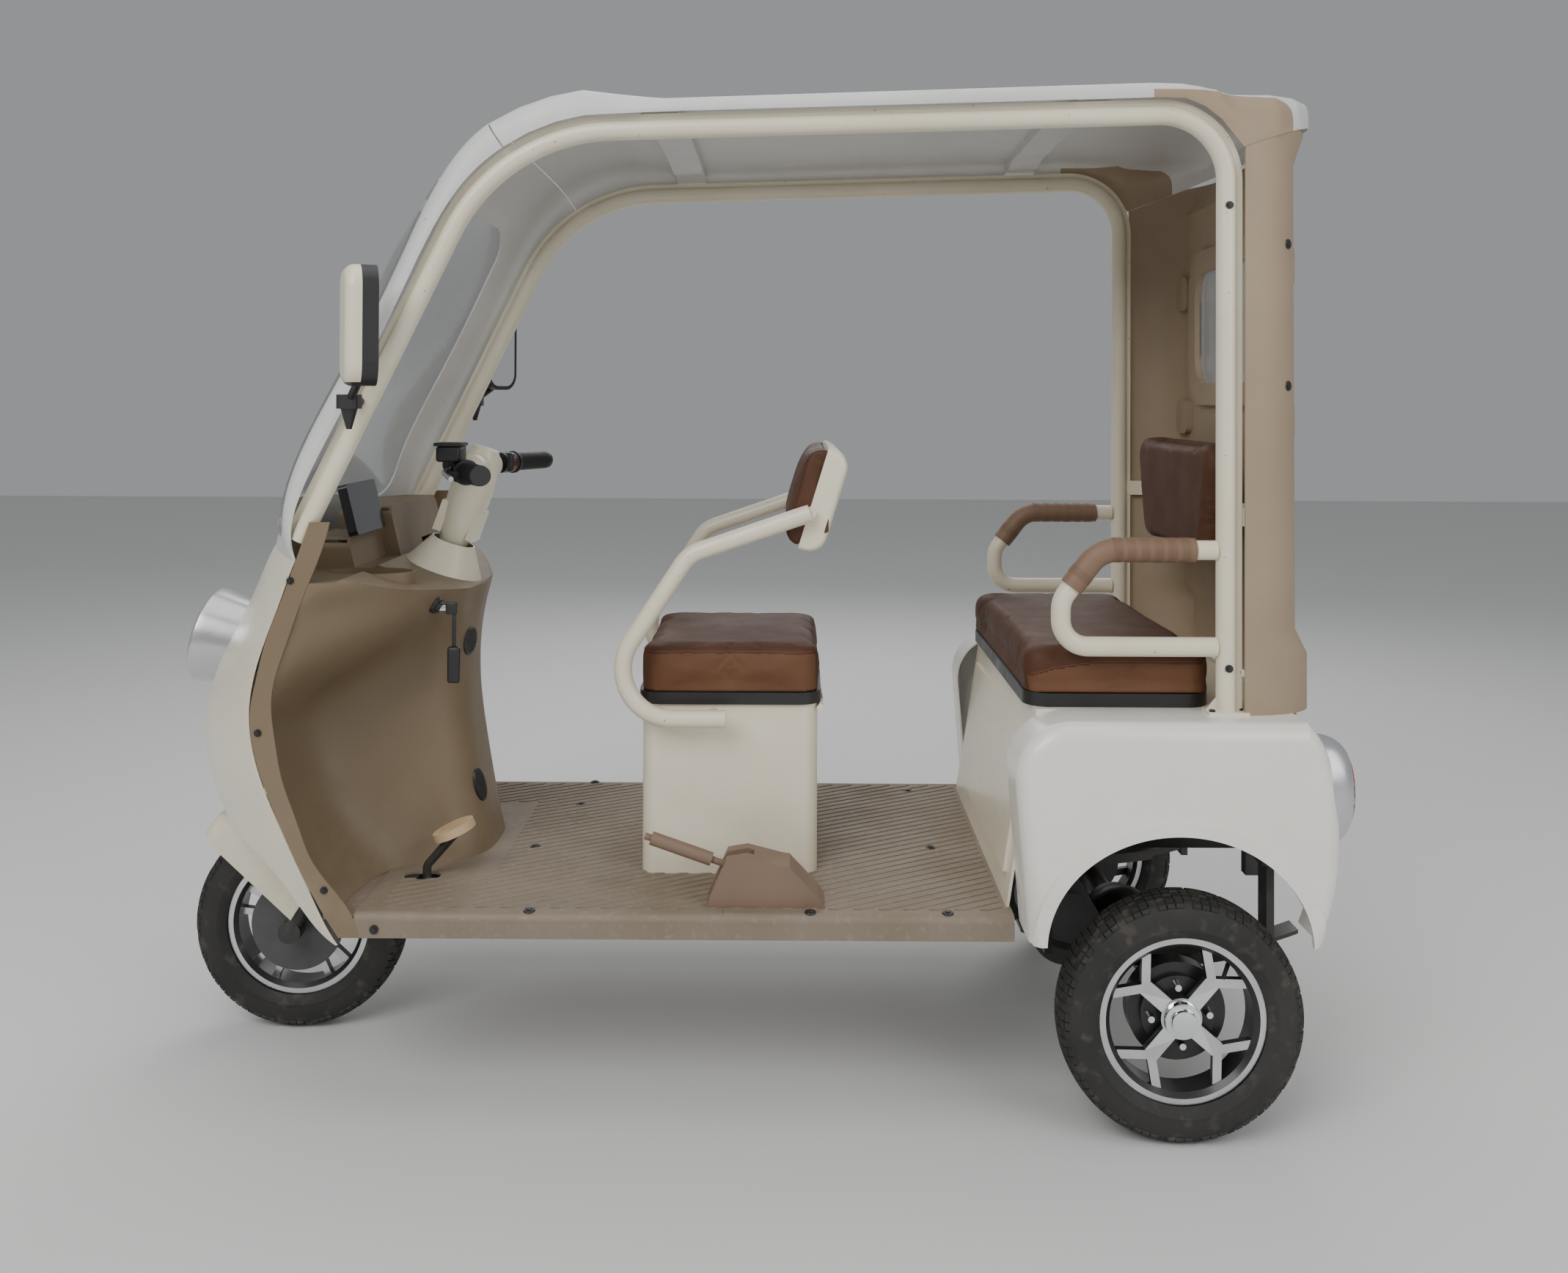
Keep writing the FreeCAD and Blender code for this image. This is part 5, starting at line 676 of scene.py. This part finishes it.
def makePad(nodeName, look):
    low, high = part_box(nodeName)
    low, high = Vector(low), Vector(high)
    rest = Vector(look["rest"]).normalized()
    seam = look.get("seam")
    even, base = evenForm(nodeName, look, rest)
    swell(even, base, look, rest, low, high)
    pressSeam(even, seam)
    holder = holderOf(look["name"] + "Fine", even)
    fine = holder.modifiers.new("fine", "SUBSURF")
    fine.levels = 1
    fine.render_levels = 1
    smooth = finishedMesh(holder)
    bpy.data.objects.remove(holder)
    bm = bmesh.new()
    bm.from_mesh(smooth)
    bm.normal_update()
    # sideways faces below the seam take the lighter leather copy, painted light, and the rest take
    # the darker copy, painted shade
    for face in bm.faces:
        middle = face.calc_center_median()
        sideways = bool(seam) and abs(face.normal.y) > 0.5
        below = sideways and middle.z < seamHeight(seam, middle.x) - 0.001
        face.material_index = 1 if below else 0
    tree = BVHTree.FromBMesh(bm)
    piece = keepPiece(look["name"], bm, bodyOf(nodeName), ["seatLeather", "seatSidePaintedLight"],
                      60.0, (nodeName,))
    if seam:
        for side in (1, -1):
            sewThread(tree, look, nodeName, side, low, high)


for padNode, padLook in padLooks.items():
    makePad(padNode, padLook)
print("seats ready")

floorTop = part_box("floor_rear")[1][2]
ribLook = {"pitch": 0.022, "width": 0.0095, "height": 0.0016, "angle": 30.0, "sunk": 0.0008,
           "length": 1.3, "reach": 0.55, "bevel": 0.001}
ribFields = [
    {"body": "floor_rear", "low": (-0.4885, -0.372), "high": (-0.006, 0.372)},
    {"body": "floor_front", "low": (0.006, -0.372), "high": (0.435, 0.372)},
    {"body": "floor_front", "low": (0.435, 0.235), "high": (0.600, 0.372)},
    {"body": "floor_front", "low": (0.435, -0.372), "high": (0.600, -0.235)},
]


def makeRibs(field, name):
    bm = bmesh.new()
    turn = Matrix.Rotation(math.radians(ribLook["angle"]), 4, "Z")
    across = turn @ Vector((0, 1, 0))
    (lowX, lowY), (highX, highY) = field["low"], field["high"]
    middle = Vector(((lowX + highX) / 2, (lowY + highY) / 2, 0))
    along = middle - across * middle.dot(across)
    pitch, height, sunk = ribLook["pitch"], ribLook["height"], ribLook["sunk"]
    size = Matrix.Diagonal((ribLook["length"], ribLook["width"], height + sunk, 1))
    count = int(ribLook["reach"] / pitch)
    for step in range(-count, count + 1):
        # every field takes its ribs from one shared set of lines
        offset = round(middle.dot(across) / pitch) * pitch + step * pitch
        centre = along + across * offset + Vector((0, 0, floorTop + (height - sunk) / 2))
        bmesh.ops.create_cube(bm, size=1, matrix=Matrix.Translation(centre) @ turn @ size)
    top = [edge for edge in bm.edges if edge.calc_length() > ribLook["length"] / 2
           and all(vert.co.z > floorTop + height * 0.9 for vert in edge.verts)]
    bmesh.ops.bevel(bm, geom=top, offset=ribLook["bevel"], affect="EDGES", segments=2,
                    profile=0.5, material=-1)
    for axis in (0, 1):
        for edge, way in ((field["low"], -1), (field["high"], 1)):
            place, normal = [0, 0, 0], [0, 0, 0]
            place[axis], normal[axis] = edge[axis], way
            cut = bmesh.ops.bisect_plane(bm, geom=everything(bm), plane_co=place,
                                         plane_no=normal, clear_outer=True)
            rims = [item for item in cut["geom_cut"] if isinstance(item, bmesh.types.BMEdge)]
            bmesh.ops.holes_fill(bm, edges=rims, sides=0)
    addPiece(name, bm, bodyOf(field["body"]), "floorPlastic", 40.0)


for ribNumber, ribField in enumerate(ribFields):
    makeRibs(ribField, "floorRibs" + str(ribNumber))

# a washer and a six-sided head each: radius, height above the floor and depth
screwLook = {"washer": (0.0105, -0.0005, 0.0026, 24), "head": (0.006, 0.002, 0.0022, 6), "tip": 0.9,
             "places": [(0.335, 0.385), (-0.152, 0.385), (-0.390, 0.385), (0.388, 0.055),
                        (-0.3945, 0.05), (-0.384, -0.33), (0.341, -0.22), (0.335, -0.385),
                        (-0.152, -0.385)]}
screws = bmesh.new()
for screwX, screwY in screwLook["places"]:
    for radius, above, depth, sides in (screwLook["washer"], screwLook["head"]):
        addDisc(screws, (screwX, screwY, floorTop + above), (0, 0, 1), radius, depth, sides,
                screwLook["tip"])
addPiece("floorScrews", screws, "chassis", "blackPlastic")

# closes the floor's front end to the foot of the leg shield
toeLook = {"low": (0.628, -0.3955, 0.360), "high": (0.690, 0.3955, 0.3685), "bevel": 0.001}
toePlate = bmesh.new()
addBlock(toePlate, toeLook["low"], toeLook["high"], toeLook["bevel"])
addPiece("toePlate", toePlate, "chassis", "floorPlastic")
print("floor ready")


def treeOf(nodeName):
    bm = bmesh.new()
    bm.from_mesh(cadNodes[nodeName].data)
    tree = BVHTree.FromBMesh(bm)
    bm.free()
    return tree


def faced(normal, way):
    normal = normal.normalized()
    return normal if normal.dot(way) < 0 else -normal


# each bolt is found by looking inwards from its place at the panel that carries it
boltLook = {"sunk": 0.001, "washer": 0.0035, "lift": 0.0024, "head": 0.0022, "headShare": 0.6,
            "tip": 0.94, "nearest": 0.2}
boltLines = {
    "leg_shield": [((0.7485, 0.6, 0.945), 0.0065), ((0.8165, 0.6, 0.751), 0.0065),
                   ((0.803, 0.6, 0.682), 0.0065), ((0.6868, 0.6, 0.412), 0.0065)],
    "rear_wall": [((-0.983, 0.6, 1.536), 0.009), ((-0.983, 0.6, 1.288), 0.009)],
    "floor_front": [((0.60, 0.6, 0.345), 0.008)],
    "windscreen_surround": [((0.70, 0.6, 1.12), 0.007)],
    "cabin_hoop_left": [((-0.872, 0.6, 0.80), 0.007), ((-0.872, 0.6, 1.60), 0.007)],
    "bench_base": [((-0.60, 0.6, 0.70), 0.007)],
}
footBolts = {"inner": (-0.8965, 0.379), "outer": (-0.8445, 0.391), "height": 0.7245,
             "radius": 0.0055, "depth": 0.004}
bolts = bmesh.new()
for boltNode, lines in boltLines.items():
    tree = treeOf(boltNode)
    for (startX, startY, startZ), radius in lines:
        for side in (1, -1):
            way = Vector((0, -side, 0))
            place, normal = tree.ray_cast(Vector((startX, startY * side, startZ)), way)[:2]
            if place is not None and abs(place.y) > boltLook["nearest"]:
                normal = faced(normal, way)
                addDisc(bolts, place - normal * boltLook["sunk"], normal, radius,
                        boltLook["washer"], 20, boltLook["tip"])
                addDisc(bolts, place + normal * boltLook["lift"], normal,
                        radius * boltLook["headShare"], boltLook["head"], 6, boltLook["tip"])
for side in (1, -1):
    for boltX, boltY in (footBolts["inner"], footBolts["outer"]):
        addDisc(bolts, (boltX, side * boltY, footBolts["height"]), (0, 0, 1),
                footBolts["radius"], footBolts["depth"], 6, boltLook["tip"])
addPiece("panelBolts", bolts, "chassis", "blackPlastic")
print("bolts ready")

# lock with key and fob, loudspeaker and vent on the leg shield's rear face
shieldTree = treeOf("leg_shield")
ahead = Vector((1, 0, 0))


def onShield(y, z):
    place, normal = shieldTree.ray_cast(Vector((0.2, y, z)), ahead)[:2]
    return place, faced(normal, ahead)


lockPlace, lockNormal = onShield(0.2, 0.873)
lock = bmesh.new()
addDisc(lock, lockPlace - lockNormal * 0.001, lockNormal, 0.017, 0.008, 32, 0.92, 0.001)
addDisc(lock, lockPlace + lockNormal * 0.006, lockNormal, 0.011, 0.006, 24, 0.9, 0.0008)
addPiece("ignitionLock", lock, "chassis", "blackPlastic")
keyPlace = lockPlace + lockNormal * 0.011
headPlace = keyPlace + Vector((-0.020, 0, 0))


def addBlocks(name, centre, blocks, finishName):
    # every block has its low and high corner from the centre, its bevel and its segments
    bm = bmesh.new()
    for low, high, bevel, segments in blocks:
        addBlock(bm, centre + Vector(low), centre + Vector(high), bevel, segments)
    addPiece(name, bm, "chassis", finishName)


keyBlocks = [((-0.012, -0.0012, -0.005), (0.004, 0.0012, 0.005), 0.0004, 2)]
fobBlocks = [((-0.012, -0.004, -0.012), (0.010, 0.004, 0.012), 0.003, 2),  # key's head
             ((-0.010, -0.001, -0.075), (-0.002, 0.001, -0.008), 0.0006, 2),  # strap
             ((-0.018, -0.007, -0.140), (0.006, 0.007, -0.072), 0.005, 3)]  # remote control
addBlocks("ignitionKey", keyPlace, keyBlocks, "machinedMetal")
addBlocks("keyFob", headPlace, fobBlocks, "blackPlastic")

grilleLook = {"frame": 0.004, "sunk": 0.001, "field": 0.8, "round": 0.17, "dot": 0.0016,
              "dotLift": 0.0026}


def makeGrille(name, y, z, width, height, rows, columns):
    place, normal = onShield(y, z)
    turn = Vector((0, 0, 1)).rotation_difference(normal).to_matrix().to_4x4()
    bm = bmesh.new()
    made = addDisc(bm, (0, 0, 0), (0, 0, 1), 0.5, 1.0, 40, 0.94)
    frameSize = Matrix.Diagonal((height, width, grilleLook["frame"], 1))
    framePlace = Matrix.Translation(place - normal * grilleLook["sunk"])
    bmesh.ops.transform(bm, verts=made, matrix=framePlace @ turn @ frameSize)
    for row in range(rows):
        for column in range(columns):
            across = ((column + 0.5) / columns - 0.5) * width * grilleLook["field"]
            up = ((row + 0.5) / rows - 0.5) * height * grilleLook["field"]
            if (across / width) ** 2 + (up / height) ** 2 < grilleLook["round"]:
                centre = place + turn @ Vector((up, across, grilleLook["dotLift"]))
                addDisc(bm, centre, normal, grilleLook["dot"], grilleLook["dot"], 8, 0.7)
    addPiece(name, bm, "chassis", "blackPlastic")


makeGrille("loudspeaker", 0.05, 0.779, 0.058, 0.058, 9, 9)
makeGrille("columnVent", 0.06, 0.497, 0.042, 0.070, 10, 6)
print("column ready")

# fine rings in bands along the level part of both arm grips, and one band on the slope
gripLook = {"bands": 6, "rings": 5, "pitch": 0.0032, "bandPitch": 0.0235, "radius": 0.0219,
            "width": 0.0018, "side": 0.379, "level": (-0.806, 1.002), "slope": (-0.6355, 0.9787),
            "slopeWay": (0.611, 0, -0.791), "slopeStart": 0.018}
slopeWay = Vector(gripLook["slopeWay"])
gripRings = bmesh.new()
for side in (1, -1):
    sideY = side * gripLook["side"]
    ringSpots = []
    for band in range(gripLook["bands"]):
        for ring in range(gripLook["rings"]):
            ringX = gripLook["level"][0] + band * gripLook["bandPitch"] + ring * gripLook["pitch"]
            ringSpots.append(((ringX, sideY, gripLook["level"][1]), (1, 0, 0)))
    for ring in range(gripLook["rings"]):
        slopeTop = Vector((gripLook["slope"][0], sideY, gripLook["slope"][1]))
        down = gripLook["slopeStart"] + ring * gripLook["pitch"]
        ringSpots.append((slopeTop + slopeWay * down, slopeWay))
    for centre, axis in ringSpots:
        addDisc(gripRings, centre, axis, gripLook["radius"], gripLook["width"], 40, 0.985)
addPiece("armGripRings", gripRings, "chassis", "gripBrown", 25.0)

# handlebar: finger rings, switch boxes with two buttons, the fluid cup and the levers
barLook = {"height": 1.122, "grip": (0.4393, 0.318), "switch": (0.4905, 0.2117), "rings": 22,
           "ringFrom": 0.010, "ringPitch": 0.0045, "ringRadius": 0.0193, "ringWidth": 0.0024,
           "boxIn": 0.030, "boxLow": (0.020, 0.017, 0.019), "boxHigh": (0.016, 0.017, 0.021)}
barAxes = {1: Vector((0.433, -0.901, 0)), -1: Vector((0.433, 0.901, 0))}
cupLow, cupHigh = (0.500, 0.176, 1.142), (0.546, 0.226, 1.172)
lidLow, lidHigh = (0.497, 0.173, 1.1715), (0.549, 0.229, 1.178)
barRings = bmesh.new()
switches = bmesh.new()
for side, axis in barAxes.items():
    start = Vector((barLook["grip"][0], side * barLook["grip"][1], barLook["height"]))
    for ring in range(barLook["rings"]):
        centre = start + axis * (barLook["ringFrom"] + ring * barLook["ringPitch"])
        addDisc(barRings, centre, axis, barLook["ringRadius"], barLook["ringWidth"], 32, 0.97)
    start = Vector((barLook["switch"][0], side * barLook["switch"][1], barLook["height"]))
    centre = start + axis * barLook["boxIn"]
    addBlock(switches, centre - Vector(barLook["boxLow"]), centre + Vector(barLook["boxHigh"]),
             0.006, 3)
addPiece("barGripRings", barRings, "steering", "blackPlastic", 25.0)
addBlock(switches, cupLow, cupHigh, 0.006, 3)
addBlock(switches, lidLow, lidHigh, 0.002)
addPiece("switchBoxes", switches, "steering", "blackPlastic", 30.0)

buttonLook = {"x": 0.4905 + 0.433 * 0.03 - 0.019, "y": -0.2117 + 0.901 * 0.03, "depth": 0.004}
for buttonName, buttonFinish, buttonZ, radius in (
        ("switchButtonRed", "lampRed", 1.128, 0.006),
        ("switchButtonOrange", "lampOrange", 1.112, 0.005)):
    button = bmesh.new()
    addDisc(button, (buttonLook["x"], buttonLook["y"], buttonZ), (-1, 0, 0), radius,
            buttonLook["depth"], 20, 0.9)
    addPiece(buttonName, button, "steering", buttonFinish)
leverLook = {"radius": 0.0045, "points": [(0.526, 0.188, 1.128), (0.534, 0.215, 1.126),
                                          (0.518, 0.262, 1.120), (0.494, 0.312, 1.116)]}
for side, sideName in ((1, "Left"), (-1, "Right")):
    leverPoints = [(x, side * y, z) for x, y, z in leverLook["points"]]
    addTube("brakeLever" + sideName, leverPoints, leverLook["radius"], "steering",
            "silverPaint")
print("controls ready")

# chrome caps in the rear hubs, in two steps, and valve stems on the rims
axleX, axleZ = -0.7835, 0.21
hubLook = {"side": 0.421, "low": (0.032, 0.012, 0.96), "high": (0.0225, 0.008, 0.94),
           "highFrom": 0.0115, "bevel": 0.0015}
valveLook = {"reach": 0.085, "side": 0.402, "lean": 0.7, "radius": 0.004, "length": 0.030}
for side, sideName in ((1, "left"), (-1, "right")):
    wheelBody = bodyOf("rear_rim_" + sideName)
    outward = Vector((0, side, 0))
    hub = bmesh.new()
    centre = Vector((axleX, side * hubLook["side"], axleZ))
    for start, (radius, depth, tip) in ((centre, hubLook["low"]),
                                        (centre + outward * hubLook["highFrom"],
                                         hubLook["high"])):
        addDisc(hub, start, outward, radius, depth, 48, tip, hubLook["bevel"])
    addPiece("hubCap" + sideName.title(), hub, wheelBody, "brightChrome", 35.0)
    valve = bmesh.new()
    stem = Vector((axleX - valveLook["reach"], side * valveLook["side"],
                   axleZ + valveLook["reach"]))
    addDisc(valve, stem, Vector((0.5, side * valveLook["lean"], -0.5)), valveLook["radius"],
            valveLook["length"], 16, 0.85)
    addPiece("valve" + sideName.title(), valve, wheelBody, "blackPlastic")

# ribs across the pedal's pad
padAlong = Vector(pedalLook["along"])
padTurn = Matrix.Rotation(math.atan2(padAlong.z, padAlong.x) * -1, 4, "Y")
padRibs = bmesh.new()
for row in range(-3, 4):
    centre = Vector(pedalLook["ribMiddle"]) + padAlong * row * pedalLook["pitch"]
    size = Matrix.Diagonal((*pedalLook["ribSize"], 1))
    bmesh.ops.create_cube(padRibs, size=1, matrix=Matrix.Translation(centre) @ padTurn @ size)
addPiece("pedalRibs", padRibs, "chassis", "padTan", 30.0)
print("wheels and pedal dressed")

studioLook = {"floor": (0.72, 0.72, 0.71, 1), "floorRough": 0.85, "floorSize": 14,
              "world": (0.86, 0.88, 0.90, 1), "worldStrength": 0.36}
studioLights = {
    "keyLight": {"place": (2.2, 4.2, 4.2), "power": 190, "size": 3.2},
    "fillLight": {"place": (-3.6, 3.4, 2.4), "power": 75, "size": 3.0},
    "backLight": {"place": (-0.5, -3.6, 3.6), "power": 70, "size": 3.5},
    "topLight": {"place": (0.0, 0.3, 5.0), "power": 70, "size": 4.0},
}


def makeFloor():
    bm = bmesh.new()
    bmesh.ops.create_grid(bm, x_segments=1, y_segments=1, size=studioLook["floorSize"])
    mesh = bpy.data.meshes.new("studioFloor")
    bm.to_mesh(mesh)
    bm.free()
    floor = bpy.data.objects.new("studioFloor", mesh)
    bpy.context.scene.collection.objects.link(floor)
    material = bpy.data.materials.new("studioFloor")
    material.use_nodes = True
    shader = material.node_tree.nodes["Principled BSDF"]
    shader.inputs["Base Color"].default_value = studioLook["floor"]
    shader.inputs["Roughness"].default_value = studioLook["floorRough"]
    mesh.materials.append(material)


def addLight(name, setup):
    data = bpy.data.lights.new(name, "AREA")
    data.energy = setup["power"]
    data.size = setup["size"]
    light = bpy.data.objects.new(name, data)
    bpy.context.scene.collection.objects.link(light)
    light.location = setup["place"]
    aim = Vector((0, 0, 0.8)) - light.location
    light.rotation_mode = "QUATERNION"
    light.rotation_quaternion = aim.to_track_quat("-Z", "Y")


makeFloor()
for lightName, lightSetup in studioLights.items():
    addLight(lightName, lightSetup)
world = bpy.data.worlds.new("studioWorld")
bpy.context.scene.world = world
world.use_nodes = True
background = world.node_tree.nodes["Background"]
background.inputs["Color"].default_value = studioLook["world"]
background.inputs["Strength"].default_value = studioLook["worldStrength"]
print("studio ready")
